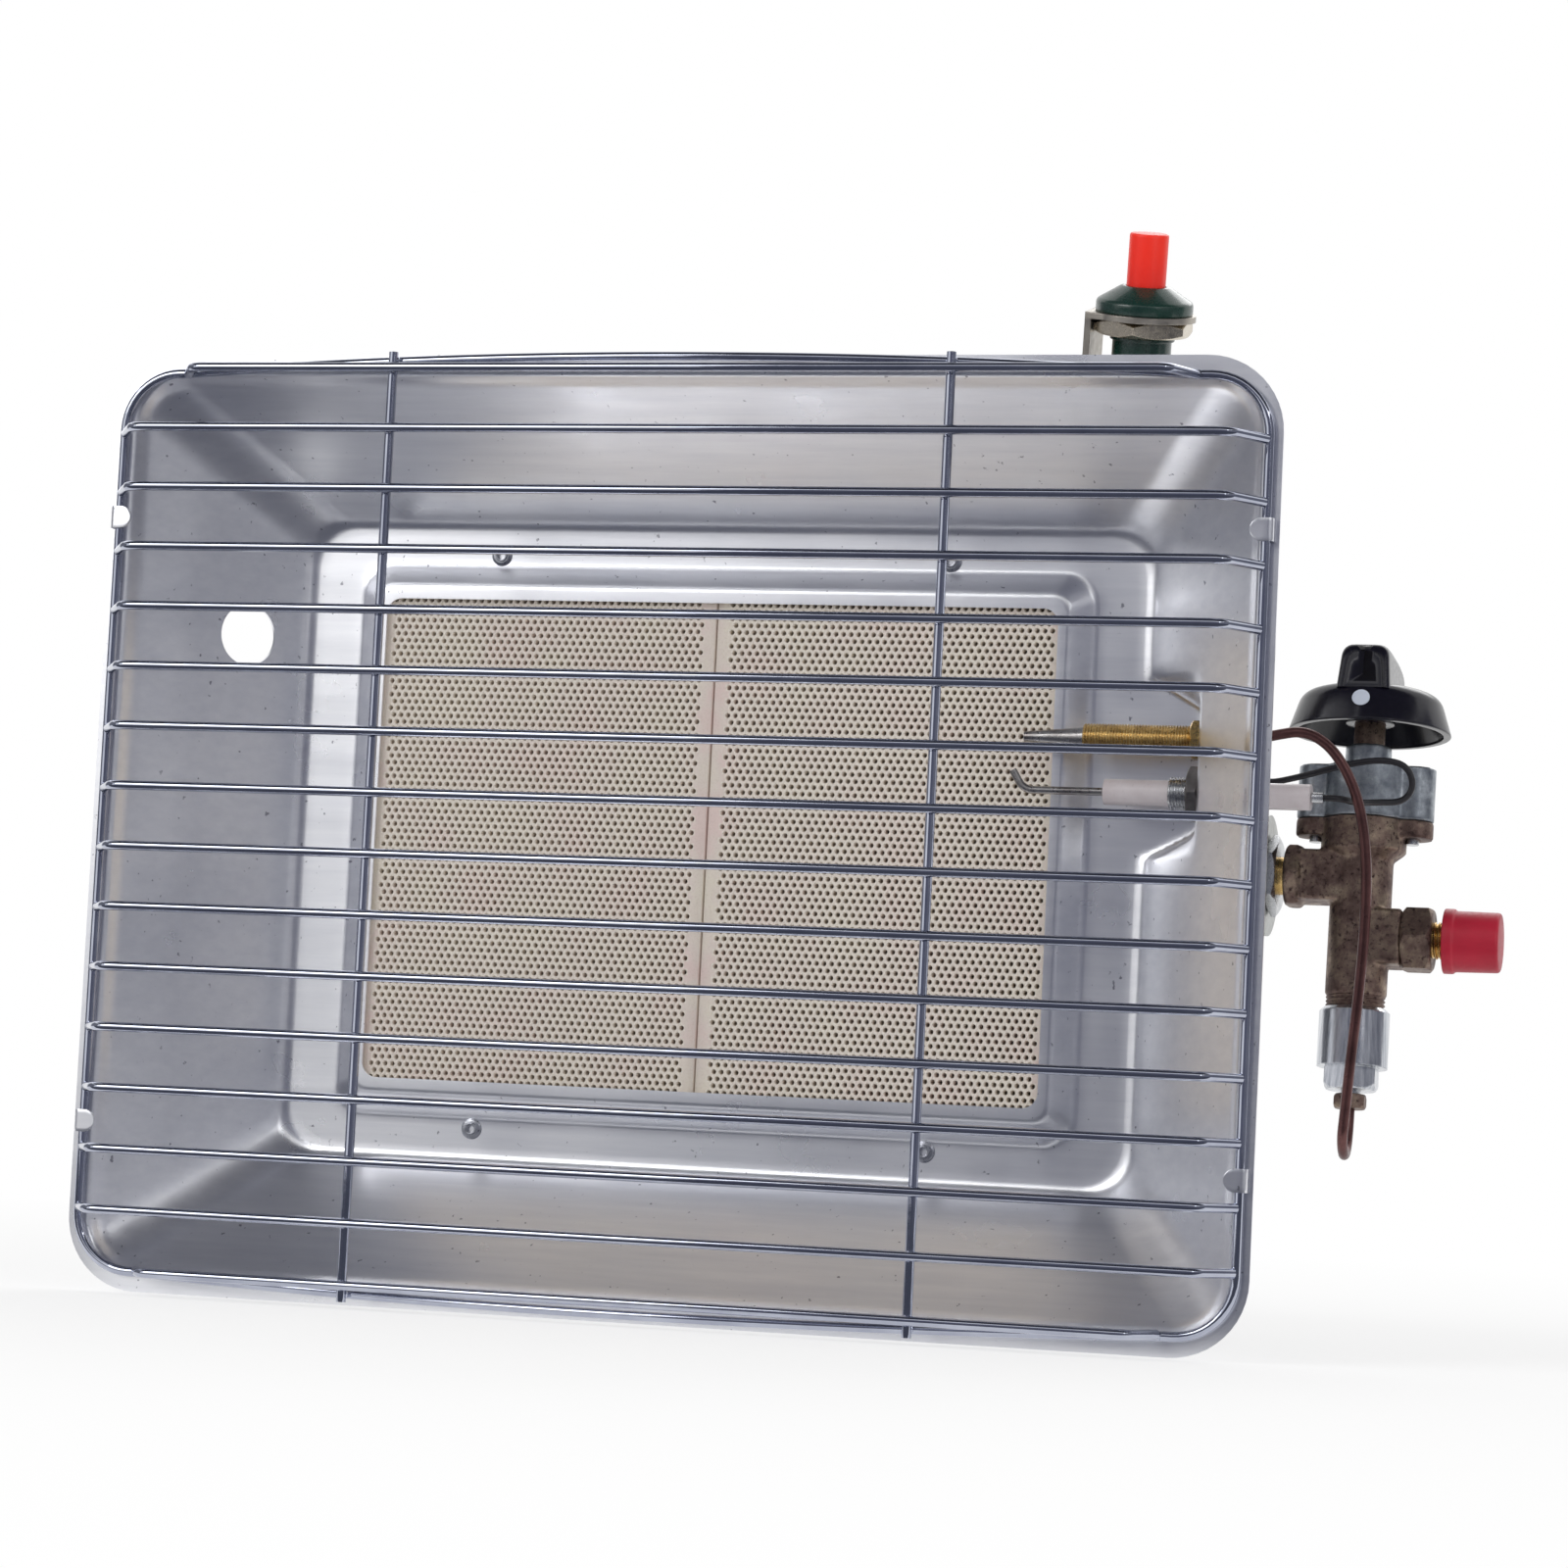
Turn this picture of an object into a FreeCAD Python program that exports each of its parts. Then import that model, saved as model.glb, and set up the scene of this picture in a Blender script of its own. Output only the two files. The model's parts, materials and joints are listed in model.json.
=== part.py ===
import FreeCAD, Part
import math
import os
from FreeCAD import Vector

# Portable propane heater: a radiant bowl with two ceramic tiles, a wire guard,
# a safety gas valve at the right, a push igniter on top and a mounting bracket behind.
# Working axes: X to the right, Y backwards, Z up, zero at the centre of the bowl's rim.
# Every piece is moved at the end so that zero is the middle of the two mounting bolts.

# Bowl
SHEET = 0.8
RIM_WIDTH = 303.5
RIM_HEIGHT = 240.0
RIM_CORNER = 19.0
LEDGE = 5.0
SHOULDER_RUN = 1.8
SHOULDER_DEPTH = 4.2
SHOULDER_ROUND_RUN = 1.08
SHOULDER_ROUND_DEPTH = 1.176
BOWL_DEPTH = 44.8
PLATE_CORNER = 11.5
PLATE_BORDER_SIDE = 15.1
PLATE_BORDER_TOP = 11.0
EMBOSS_RISE = 4.8
EMBOSS_RUN = 5.6
EMBOSS_CORNER = 8.0
PLATEAU_CORNER = 3.52
PLATEAU_SIDE = 2.8
PLATEAU_TOP = 3.65
WALL_HOLE = 16.0
WALL_HOLE_FORWARD = 14.5
WALL_HOLE_Z = 51.2

# Tiles
TILE_WIDTH = 91.85
TILE_HEIGHT = 131.0
TILE_THICK = 13.0
TILE_SEAM = 0.5
TILE_CORNER = 3.0
TILE_LAP_SIDE = 2.1
TILE_LAP_TOP = 2.75
OPENING_CORNER = 4.0
GASKET = 1.0
GASKET_BAND = 4.2
FIT = 0.3
CLOSE_FIT = 0.1

# Shop values shared by many pieces
HEX_TURN = 30.0
NUT_FACE_SHARE = 0.97
NUT_CUT_SPARE = 0.1
SMALL_NUT_BEVEL = 0.8
NUT_BEVEL = 1.2
ROUTE_ARC_SHARE = 0.45
DRILL_REACH = 6.0
SCREW_HEAD_RISE_SHARE = 0.55
SCREW_CROWN_SHARE = 0.7

# Burner box behind the tiles
BOX_DEPTH = 22.2
BOX_STEP = 7.0
BOX_FLANGE = 7.4
BOX_CORNER = 8.0
BOX_FLANGE_CORNER = 12.0
RIVET_HEAD = 5.5
RIVET_HEAD_HIGH = 1.2
RIVET_BODY = 3.2
RIVET_HOLE = 1.8
RIVET_CROWN = 3.96
RIVET_TAIL = 4.6
RIVET_TAIL_LONG = 2.0
RIVET_X = 60.5
RIVET_RISE = 2.9
BAFFLE_THICK = 0.6
BAFFLE_GAP = 0.2
BAFFLE_SLOT_LONG = 40.0
BAFFLE_SLOT_WIDE = 5.0
BAFFLE_SLOT_PITCH = 16.0
BAFFLE_SLOTS = 7

# Gas line: one straight axis carries mixing tube, disc, injector and valve outlet
GAS_AXIS_DEEP = 11.2
GAS_AXIS_Z = -1.15
MIX_TUBE = 18.0
MIX_WALL = 1.0
MIX_END_X = -62.0
MIX_SLOTS = 3
MIX_SLOT_START = 10.0
MIX_SLOT_LONG = 24.0
MIX_SLOT_PITCH = 36
MIX_SLOT_WIDE = 8.0
MIX_BELL = 28.4
MIX_BELL_LONG = 15.0
MIX_CONE_LONG = 7.0
AIR_PORT = 7.0
DISC = 30.6
DISC_DEEP = 3.2
DISC_PLATE = 1.2
DISC_INSET = 10.05
NUT_THICK = 2.7
NUT_FLATS = 18.0
INJECTOR = 9.6
INJECTOR_NECK = 7.6
INJECTOR_NOSE_END = 4.6
INJECTOR_HEX_FRONT = 2.4
INJECTOR_BORE = 5.0
INJECTOR_JET = 0.7
INJECTOR_NOSE = 14.0
INJECTOR_TIP = 3.0
INJECTOR_SHOULDER = 2.5
INJECTOR_HEX = 12.0
INJECTOR_HEX_LONG = 4.4

# Valve, drawn upright about its own axis and then leant back about the gas line
VALVE_REACH = 19.1
VALVE_LEAN = 6.0
BARREL = 15.4
BARREL_LOW = -29.6
THREAD = 14.1
THREAD_SHOWN = 3.4
UPPER_BODY = 21.4
UPPER_LOW = 6.8
UPPER_TAPER = 2.4
FLANGE_LOW = 10.2
FLANGE_TOP = 14.6
EAR_SPAN = 34.5
EAR_WIDTH = 10.4
BONNET_HIGH = 13.7
BONNET_ROOF = 2.5
NECK = 11.6
NECK_HIGH = 5.4
OUTLET_BOSS = 12.8
OUTLET_COLLAR = 15.0
OUTLET_COLLAR_LONG = 4.4
OUTLET_BORE_DEEP = 6.9
OUTLET_STAND = 1.6
OUTLET_FILLET = 1.2
INLET_DROP = 15.1
INLET_BOSS = 14.0
INLET_BOSS_LONG = 11.1
INLET_FILLET = 1.4
INLET_HEX = 15.2
INLET_HEX_LONG = 7.6
INLET_NIPPLE = 9.4
INLET_NIPPLE_LONG = 14.5
INLET_SEAT = 5.0
INLET_SPIGOT_CLEAR = 0.5
INLET_BORE = 4.0
CAP_GAP = 2.7
CAP_LONG = 14.0
CAP_TAPER = 0.3
CAP = 15.3
CAP_LIP = 16.3
CAP_LIP_LONG = 2.5
CAP_END = 1.6
PLUG = 10.4
PLUG_LONG = 15.0
PLUG_BOTTOM = -7.0
PLUG_HEAD_LONG = 3.0
SPINDLE = 7.8
SPINDLE_FLAT = 5.9
SPINDLE_KEY = 4.0
SPINDLE_KEY_LONG = 8.0
PUSH_ROD = 3.0
PUSH_TRAVEL = 3.5
MAGNET_UNIT = 11.6
MAGNET_UNIT_LONG = 31.5
MAGNET_SHANK = 5.0
HOUSING = 17.6
HOUSING_LONG = 14.8
HOUSING_HEX = 12.7
HOUSING_HEX_LONG = 5.7
HOUSING_HEX_BEVEL = 1.6
UNION_NUT = 7.6
UNION_NUT_LONG = 3.6
UNION_NUT_GAP = 1.0
DISC_SEAL = 9.0
DISC_SEAL_THICK = 2.0
SCREW = 3.5
SCREW_HEAD = 6.6
SCREW_HEAD_HIGH = 2.2
SCREW_SINK = 2.6
SCREW_PROUD = 1.3
SCREW_SLOT_WIDE = 0.8
SCREW_SLOT_DEEP = 0.9
SPRING_WALL = 0.9
SPINDLE_COLLAR = 10.0
SPINDLE_COLLAR_THICK = 2.0
CAPILLARY_BEND = 8.0
CAPILLARY_DROP = 100.0
CAPILLARY_FRONT = 23.0

# Knob
KNOB = 41.0
KNOB_RIM_Z = 37.0
KNOB_WALL = 2.0
KNOB_SHOULDER = 35.0
KNOB_CROWN = 23
KNOB_RIB = 1.4
KNOB_RIB_DEEP = 3.0
KNOB_SHOULDER_HIGH = 9.4
KNOB_DOME_HIGH = 11.5
KNOB_HIGH = 21.0
GRIP_WIDE = 13.4
GRIP_TOP_WIDE = 11.4
GRIP_LONG = 35.0
GRIP_ROUND = 2.4
KNOB_HUB = 12.5
KNOB_HUB_DEEP = 7.0
SPINDLE_IN_KNOB = 10.0
MARKER = 4.4
MARKER_DEEP = 0.5
MARKER_PROUD = 0.15
MARKER_HIGH = 5.6
POINTER_WIDE = 2.0
POINTER_DEEP = 1.0

# Igniter, drawn upright about its own axis and then leant forward and to the right
IGNITER_INSET = 44.25
IGNITER_BEHIND = 0.2
IGNITER_RISE = 18.9
IGNITER_FORWARD = 16.0
IGNITER_RIGHT = 5.0
IGN_PLATE = 1.6
IGN_PLATE_ROUND = 13.2
IGN_LEG_X = -13.4
IGN_LEG_DEEP = 17.0
IGN_FLANGE = 24.6
IGN_FLANGE_RIM = 3.0
IGN_CONE = 3.8
IGN_CONE_TOP = 12.4
IGN_BARREL = 15.0
IGN_BARREL_LONG = 34.0
IGN_LIP = 16.4
IGN_LIP_THICK = 1.0
IGN_NUT = 23.0
IGN_NUT_THICK = 4.0
BUTTON = 9.9
BUTTON_PROUD = 13.2
BUTTON_LONG = 24.0
BUTTON_ROUND = 0.5
BUTTON_TRAVEL = 6.0
BUTTON_COLLAR_THICK = 2.0
IGN_BORE = 11.2
IGN_FLOOR = 2.0
PIEZO = 10.4
PIEZO_LONG = 8.0
TERMINAL = 3.2
TERMINAL_LONG = 5.0
IGN_FOOT_WIDE = 17.0
IGN_SCREW_INSET = 10.2
IGN_SCREW = 4.0
IGN_SCREW_HEAD = 7.4

# Electrode and thermocouple, side by side in the pocket of the right wall
POCKET_FORWARD = 8.24
POCKET_LOW = 7.0
POCKET_HIGH = 39.5
POCKET_FLARE = 4.5
POCKET_CLEAR = 8.0
PROBE_FORWARD = 12.8
ELECTRODE_Z = 16.3
THERMO_Z = 29.6
CERAMIC = 6.5
CERAMIC_INSIDE = 24.4
CERAMIC_OUTSIDE = 27.0
SPARK_WIRE = 2.0
SPARK_BEND_INSIDE = 45.0
SPARK_TIP_RUN = 2.9
SPARK_TIP_RISE = 4.75
BUSHING = 8.4
BUSHING_LONG = 7.9
PROBE_NUT = 13.2
BACK_NUT = 11.2
PROBE_NUT_THICK = 3.2
THERMO_TIP_INSIDE = 45.3
THERMO_TIP = 2.6
THERMO_BASE_INSIDE = 30.0
THERMO_ROOT = 6.0
THERMO_STRAIGHT = 5.6
THERMO_SLEEVE = 7.3
THERMO_BASE = 5.3
THERMO_SHANK = 4.3
SLEEVE_BORE_LESS = 0.6
THERMO_HEX = 9.4
THERMO_HEX_THICK = 3.0
THERMO_TAIL = 3.2
CAPILLARY = 2.6
LEAD = 1.6
LEAD_SPAN = 100.0
LEAD_RUN_IN = 8.0
LEAD_RUN_OUT = 2.6
FERRULE = 2.6
FERRULE_LONG = 3.0

# Guard
WIRE = 2.4
WIRE_GAP = 0.05
BAR_COUNT = 16
BAR_EDGE_GAP = 5.55
BAR_STAND = 12.65
GUARD_INSET = 3.1
GUARD_TOP_INSET = 5.1
GUARD_CORNER = 14.6
BAR_LEG_RUN = 7.65
BAR_BEND = 5.0
END_BAR_HALF = 125.5
END_BAR_LEG = 5.2
UPRIGHT_X = 72.0
BOW_BULGE = 2.5
WELD_GAP = 0.4
TONGUE_HIGH = 5.6
TONGUE_Z = 77.4
TONGUE_LONG = 5.7

# Mounting bracket behind the burner box
HAT_THICK = 1.5
HAT_STAND = 12.0
HAT_WEB = 40.0
HAT_FOOT = 14.0
HAT_HIGH = 64.0
BOLT_SPACING = 40.0
BOLT_HOLE = 6.6
HAT_SCREW_Z = 24.0

# Levels along Y and half sizes that follow from the sizes above
TILES_HALF_X = TILE_WIDTH + TILE_SEAM / 2
TILES_HALF_Z = TILE_HEIGHT / 2
OPENING_X = TILES_HALF_X - TILE_LAP_SIDE
OPENING_Z = TILES_HALF_Z - TILE_LAP_TOP
PLATEAU_X = OPENING_X + PLATEAU_SIDE
PLATEAU_Z = OPENING_Z + PLATEAU_TOP
EMBOSS_X = PLATEAU_X + EMBOSS_RUN
EMBOSS_Z = PLATEAU_Z + EMBOSS_RUN
PLATE_X = EMBOSS_X + PLATE_BORDER_SIDE
PLATE_Z = EMBOSS_Z + PLATE_BORDER_TOP
PLATEAU_Y = BOWL_DEPTH - EMBOSS_RISE
PLATE_BACK_Y = BOWL_DEPTH + SHEET
TILE_FRONT_Y = PLATEAU_Y + SHEET + GASKET
TILE_BACK_Y = TILE_FRONT_Y + TILE_THICK
LEDGE_Y = TILE_BACK_Y + CLOSE_FIT
BOX_BACK_Y = LEDGE_Y + SHEET + BOX_DEPTH
MOUNT_FACE_Y = BOX_BACK_Y + HAT_STAND
MOUTH_X = RIM_WIDTH / 2 - LEDGE
MOUTH_Z = RIM_HEIGHT / 2 - LEDGE
SLOPE_X = MOUTH_X - SHOULDER_RUN
SLOPE_Z = MOUTH_Z - SHOULDER_RUN
SLOPE_DEPTH = BOWL_DEPTH - SHOULDER_DEPTH
BOX_X = TILES_HALF_X + GASKET_BAND
BOX_Z = TILES_HALF_Z + GASKET_BAND
CUP_X = BOX_X - BOX_STEP
CUP_Z = BOX_Z - BOX_STEP
BONNET_TOP = FLANGE_TOP + BONNET_HIGH
NECK_TOP = BONNET_TOP + NECK_HIGH
EAR_X = (EAR_SPAN - EAR_WIDTH) / 2
THREAD_LOW = BARREL_LOW - THREAD_SHOWN
HOUSING_LOW = THREAD_LOW - HOUSING_LONG
HOUSING_END = HOUSING_LOW - HOUSING_HEX_LONG
MAGNET_TOP = HOUSING_LOW + MAGNET_UNIT_LONG
SIDE_WIRE_X = RIM_WIDTH / 2 - GUARD_INSET
END_WIRE_Z = RIM_HEIGHT / 2 - GUARD_TOP_INSET
WIRE_R = WIRE / 2
RING_Y = -WIRE_R - WIRE_GAP
BAR_Y = RING_Y - BAR_STAND
UPRIGHT_Y = BAR_Y + WIRE + WIRE_GAP
BAR_PITCH = (RIM_HEIGHT - 2 * BAR_EDGE_GAP) / (BAR_COUNT - 1)
WALL_HOLE_DEPTH = BOWL_DEPTH - WALL_HOLE_FORWARD
GAS_AXIS_Y = TILE_BACK_Y + GAS_AXIS_DEEP
DISC_FACE_X = RIM_WIDTH / 2 - DISC_INSET
OUTLET_FACE_X = DISC_FACE_X + NUT_THICK + OUTLET_STAND
VALVE_X = OUTLET_FACE_X + VALVE_REACH
INLET_BOSS_X = VALVE_X + INLET_BOSS_LONG
CAP_X = INLET_BOSS_X + INLET_HEX_LONG + CAP_GAP
IGNITER_X = RIM_WIDTH / 2 - IGNITER_INSET
IGNITER_Y = BOWL_DEPTH + IGNITER_BEHIND
IGNITER_Z = RIM_HEIGHT / 2 + IGNITER_RISE
PROBE_Y = BOWL_DEPTH - PROBE_FORWARD
POCKET_START = PROBE_Y - POCKET_FORWARD
POCKET_X = SLOPE_X - (SLOPE_X - PLATE_X) * (POCKET_START - SHOULDER_DEPTH) / SLOPE_DEPTH
CERAMIC_FRONT_X = POCKET_X - CERAMIC_INSIDE
CERAMIC_REAR_X = POCKET_X + CERAMIC_OUTSIDE
SPARK_BEND_X = POCKET_X - SPARK_BEND_INSIDE
SPARK_TIP_X = SPARK_BEND_X - SPARK_TIP_RUN
THERMO_TIP_X = POCKET_X - THERMO_TIP_INSIDE
THERMO_BASE_X = POCKET_X - THERMO_BASE_INSIDE
SLEEVE_END_X = POCKET_X + SHEET + THERMO_TAIL

AXIS_X = Vector(1, 0, 0)
AXIS_Y = Vector(0, 1, 0)
AXIS_Z = Vector(0, 0, 1)
ORIGIN = Vector(0, MOUNT_FACE_Y, 0)


def save(name, solids):
    """Write one node, moved so that zero is the middle of the mounting bolts."""
    for solid in solids:
        if not solid.isValid():
            print("not valid:", name)
    moved = [solid.translated(ORIGIN * -1) for solid in solids]
    shape = moved[0] if len(moved) == 1 else Part.makeCompound(moved)
    shape.exportStep("parts/" + name + ".step")
    print(name, len(shape.Solids), round(sum(s.Volume for s in shape.Solids), 1))


def one(shape):
    """The single clean solid of a boolean result."""
    shape = shape.removeSplitter()
    return shape.Solids[0]


def rounded_wire(half_x, half_z, corner, y):
    """A rounded rectangle in the plane at depth y."""
    k = corner * (1 - math.sqrt(0.5))
    hx, hz = half_x, half_z
    edges = []
    for sx, sz in ((1, 1), (-1, 1), (-1, -1), (1, -1)):
        near = Vector(sx * hx, y, sz * (hz - corner))
        far = Vector(sx * (hx - corner), y, sz * hz)
        mid = Vector(sx * (hx - k), y, sz * (hz - k))
        start, end = (near, far) if sx * sz > 0 else (far, near)
        edges.append((start, mid, end))
    wire = []
    for i, (start, mid, end) in enumerate(edges):
        wire.append(Part.Arc(start, mid, end).toShape())
        wire.append(Part.LineSegment(end, edges[(i + 1) % 4][0]).toShape())
    return Part.Wire(wire)


def layers(sections):
    """A straight-sided solid through (y, half_x, half_z, corner) sections."""
    wires = [rounded_wire(hx, hz, corner, y) for y, hx, hz, corner in sections]
    return Part.makeLoft(wires, True, True)


def slab(half_x, half_z, corner, y0, y1):
    """A rounded rectangular plate from depth y0 to y1."""
    return Part.Face(rounded_wire(half_x, half_z, corner, y0)).extrude(AXIS_Y * (y1 - y0))


def box(x0, x1, y0, y1, z0, z1):
    return Part.makeBox(x1 - x0, y1 - y0, z1 - z0, Vector(x0, y0, z0))


def rod(start, axis, length, diameter):
    return Part.makeCylinder(diameter / 2, length, start, axis)


def ring(start, axis, length, outer, inner):
    return rod(start, axis, length, outer).cut(rod(start, axis, length, inner))


def cone(start, axis, length, first, last):
    return Part.makeCone(first / 2, last / 2, length, start, axis)


def hexagon(start, axis, length, flats, turn=0.0):
    """A hexagonal bar; with turn 0 one corner points along the first cross axis."""
    axis = Vector(axis).normalize()
    first = AXIS_Z if abs(axis.z) < 0.9 else AXIS_X
    first = (first - axis * first.dot(axis)).normalize()
    second = axis.cross(first)
    reach = flats / math.sqrt(3)
    points = []
    for i in range(7):
        angle = math.radians(turn + 60 * i)
        points.append(start + first * (reach * math.cos(angle)) + second * (reach * math.sin(angle)))
    return Part.Face(Part.makePolygon(points)).extrude(axis * length)


def nut(start, axis, length, flats, hole, turn=0.0, bevel=1.0):
    """A hexagonal nut with both ends turned to a round bevel."""
    axis = Vector(axis).normalize()
    body = hexagon(start, axis, length, flats, turn)
    corner = flats / math.cos(math.radians(HEX_TURN))
    rise = min(bevel, length / 3)
    turned = cone(start, axis, rise, flats * NUT_FACE_SHARE, corner + NUT_CUT_SPARE)
    turned = turned.fuse(rod(start + axis * rise, axis, length - 2 * rise, corner + NUT_CUT_SPARE))
    turned = turned.fuse(cone(start + axis * (length - rise), axis, rise, corner + NUT_CUT_SPARE,
                              flats * NUT_FACE_SHARE))
    body = body.common(turned)
    if hole:
        body = body.cut(rod(start, axis, length, hole))
    return one(body)


def tube(points, diameter, label=""):
    """A tube along straight runs joined by tangent arcs."""
    points = [Vector(p) for p in points]
    edges = []
    radii = []
    last = points[0]
    for before, here, after in zip(points, points[1:], points[2:]):
        run_in = here - before
        run_out = after - here
        turn = run_in.getAngle(run_out)
        reach = ROUTE_ARC_SHARE * min(run_in.Length, run_out.Length)
        radii.append(round(reach / math.tan(turn / 2), 1))
        start = here - run_in.normalize() * reach
        end = here + run_out.normalize() * reach
        bisector = (start + end) * 0.5 - here
        radius = reach / math.tan(turn / 2)
        centre = here + bisector.normalize() * (radius / math.cos(turn / 2))
        middle = centre + (here - centre).normalize() * radius
        edges.append(Part.LineSegment(last, start).toShape())
        edges.append(Part.Arc(start, middle, end).toShape())
        last = end
    edges.append(Part.LineSegment(last, points[-1]).toShape())
    path = Part.Wire(edges)
    circle = Part.Circle(points[0], points[1] - points[0], diameter / 2).toShape()
    solid = path.makePipeShell([Part.Wire([circle])], True, False)
    want = path.Length * math.pi * diameter ** 2 / 4
    print("tube", label, "radii", radii, "length", round(path.Length, 1),
          "volume ratio", round(solid.Volume / want, 4))
    return solid.Solids[0] if solid.Solids else solid


def wall_x(y):
    """Half width of the bowl's inner surface at depth y on the sloping wall."""
    return SLOPE_X - (SLOPE_X - PLATE_X) * (y - SHOULDER_DEPTH) / SLOPE_DEPTH


def lean_valve(shape):
    """From the upright valve drawing to its place on the gas line."""
    shape = shape.copy()
    shape.rotate(Vector(0, 0, 0), AXIS_X, -VALVE_LEAN)
    shape.translate(Vector(VALVE_X, GAS_AXIS_Y, GAS_AXIS_Z))
    return shape


def valve_point(x, y, z):
    """A point of the upright valve drawing in working axes."""
    lean = math.radians(VALVE_LEAN)
    return Vector(VALVE_X + x, GAS_AXIS_Y + y * math.cos(lean) + z * math.sin(lean),
                  GAS_AXIS_Z - y * math.sin(lean) + z * math.cos(lean))


def igniter_axis():
    forward = math.tan(math.radians(IGNITER_FORWARD))
    right = math.tan(math.radians(IGNITER_RIGHT))
    return Vector(right, -forward, 1).normalize()


def lean_igniter(shape):
    """From the upright igniter drawing to its place on top of the bowl."""
    axis = igniter_axis()
    across = (AXIS_X - axis * axis.x).normalize()
    back = axis.cross(across)
    place = FreeCAD.Matrix(across.x, back.x, axis.x, IGNITER_X,
                           across.y, back.y, axis.y, IGNITER_Y,
                           across.z, back.z, axis.z, IGNITER_Z, 0, 0, 0, 1)
    shape = shape.copy()
    shape.transformShape(place)
    return shape


def reflector_pan():
    """Pressed bowl: flat rim, rounded shoulder, sloping walls, plate and raised tile frame."""
    slope_skin = SHEET * math.hypot(SLOPE_X - PLATE_X, SLOPE_DEPTH) / SLOPE_DEPTH
    emboss_skin = SHEET * math.hypot(EMBOSS_RUN, EMBOSS_RISE) / EMBOSS_RISE
    emboss_step = SHEET * EMBOSS_RUN / EMBOSS_RISE
    mouth_corner = RIM_CORNER - LEDGE
    slope_corner = mouth_corner - SHOULDER_RUN / 2
    slope_back = (SLOPE_X - PLATE_X) * SHEET / SLOPE_DEPTH
    inner = [(0, MOUTH_X, MOUTH_Z, mouth_corner),
             (SHOULDER_ROUND_DEPTH, MOUTH_X - SHOULDER_ROUND_RUN, MOUTH_Z - SHOULDER_ROUND_RUN, mouth_corner),
             (SHOULDER_DEPTH, SLOPE_X, SLOPE_Z, slope_corner),
             (BOWL_DEPTH, PLATE_X, PLATE_Z, PLATE_CORNER)]
    skin = slope_skin
    outer = [(y, hx + skin, hz + skin, corner + skin) for y, hx, hz, corner in inner]
    outer.append((PLATE_BACK_Y, PLATE_X + skin - slope_back, PLATE_Z + skin - slope_back, PLATE_CORNER))
    shell = layers(outer).fuse(slab(RIM_WIDTH / 2, RIM_HEIGHT / 2, RIM_CORNER, 0, SHEET))
    pocket_out = pocket(SHEET, PLATE_BACK_Y)
    shell = shell.fuse(pocket_out)
    void = layers(inner)
    raised = layers([(PLATEAU_Y, PLATEAU_X, PLATEAU_Z, PLATEAU_CORNER),
                     (BOWL_DEPTH, EMBOSS_X, EMBOSS_Z, EMBOSS_CORNER)])
    shell = shell.cut(void.cut(raised))
    shell = shell.cut(pocket(0, BOWL_DEPTH))
    behind = layers([(PLATEAU_Y + SHEET, PLATEAU_X + emboss_step - emboss_skin,
                      PLATEAU_Z + emboss_step - emboss_skin, PLATEAU_CORNER),
                     (PLATE_BACK_Y, EMBOSS_X + emboss_step - emboss_skin,
                      EMBOSS_Z + emboss_step - emboss_skin, EMBOSS_CORNER)])
    shell = shell.cut(behind)
    shell = shell.cut(slab(OPENING_X, OPENING_Z, OPENING_CORNER, 0, PLATE_BACK_Y + 1))
    hole_x = -wall_x(WALL_HOLE_DEPTH)
    normal = Vector(SLOPE_DEPTH, SLOPE_X - PLATE_X, 0).normalize()
    hole = rod(Vector(hole_x, WALL_HOLE_DEPTH, WALL_HOLE_Z) - normal * DRILL_REACH, normal,
               2 * DRILL_REACH, WALL_HOLE)
    shell = shell.cut(hole)
    for x, z in rivet_places():
        shell = shell.cut(rod(Vector(x, PLATEAU_Y, z), AXIS_Y, BOWL_DEPTH, RIVET_BODY + CLOSE_FIT))
    for z, size in ((ELECTRODE_Z, BUSHING), (THERMO_Z, THERMO_SLEEVE)):
        shell = shell.cut(rod(Vector(POCKET_X - 1, PROBE_Y, z), AXIS_X, 4, size + CLOSE_FIT))
    for sx in (-1, 1):
        for sz in (-1, 1):
            shell = shell.fuse(tongue(sx, sz * TONGUE_Z))
    return one(shell)


def pocket(grow, back):
    """Prism of the flat-ended pocket pressed outward in the right wall."""
    wall = POCKET_X + grow
    low, high = POCKET_LOW - grow, POCKET_HIGH + grow
    mouth = PLATE_X - EMBOSS_RUN
    flare = POCKET_FLARE * (POCKET_X - mouth) / (POCKET_X - PLATE_X)
    start_y = POCKET_START - POCKET_CLEAR
    corners = [(mouth, low - flare), (wall, low), (wall, high), (mouth, high + flare)]
    points = [Vector(x, start_y, z) for x, z in corners + corners[:1]]
    return Part.Face(Part.makePolygon(points)).extrude(AXIS_Y * (back - start_y))


def tongue(side, z):
    """A half-round tongue folded from the rim's edge over the guard's side wire."""
    outer_x = SIDE_WIRE_X + WIRE_R + WIRE_GAP + SHEET
    top_y = RING_Y - WIRE_R - WIRE_GAP
    wall = box(outer_x - SHEET, outer_x, top_y - SHEET, SHEET, z - TONGUE_HIGH / 2, z + TONGUE_HIGH / 2)
    straight = outer_x - TONGUE_LONG + TONGUE_HIGH / 2
    flap = box(straight, outer_x, top_y - SHEET, top_y, z - TONGUE_HIGH / 2, z + TONGUE_HIGH / 2)
    end = rod(Vector(straight, top_y - SHEET, z), AXIS_Y, SHEET, TONGUE_HIGH)
    piece = wall.fuse(flap).fuse(end)
    if side < 0:
        piece = piece.mirror(Vector(0, 0, 0), AXIS_X)
    return piece


def rivet_places():
    rise = EMBOSS_Z + RIVET_RISE
    return [(sx * RIVET_X, sz * rise) for sx in (-1, 1) for sz in (-1, 1)]


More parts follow.
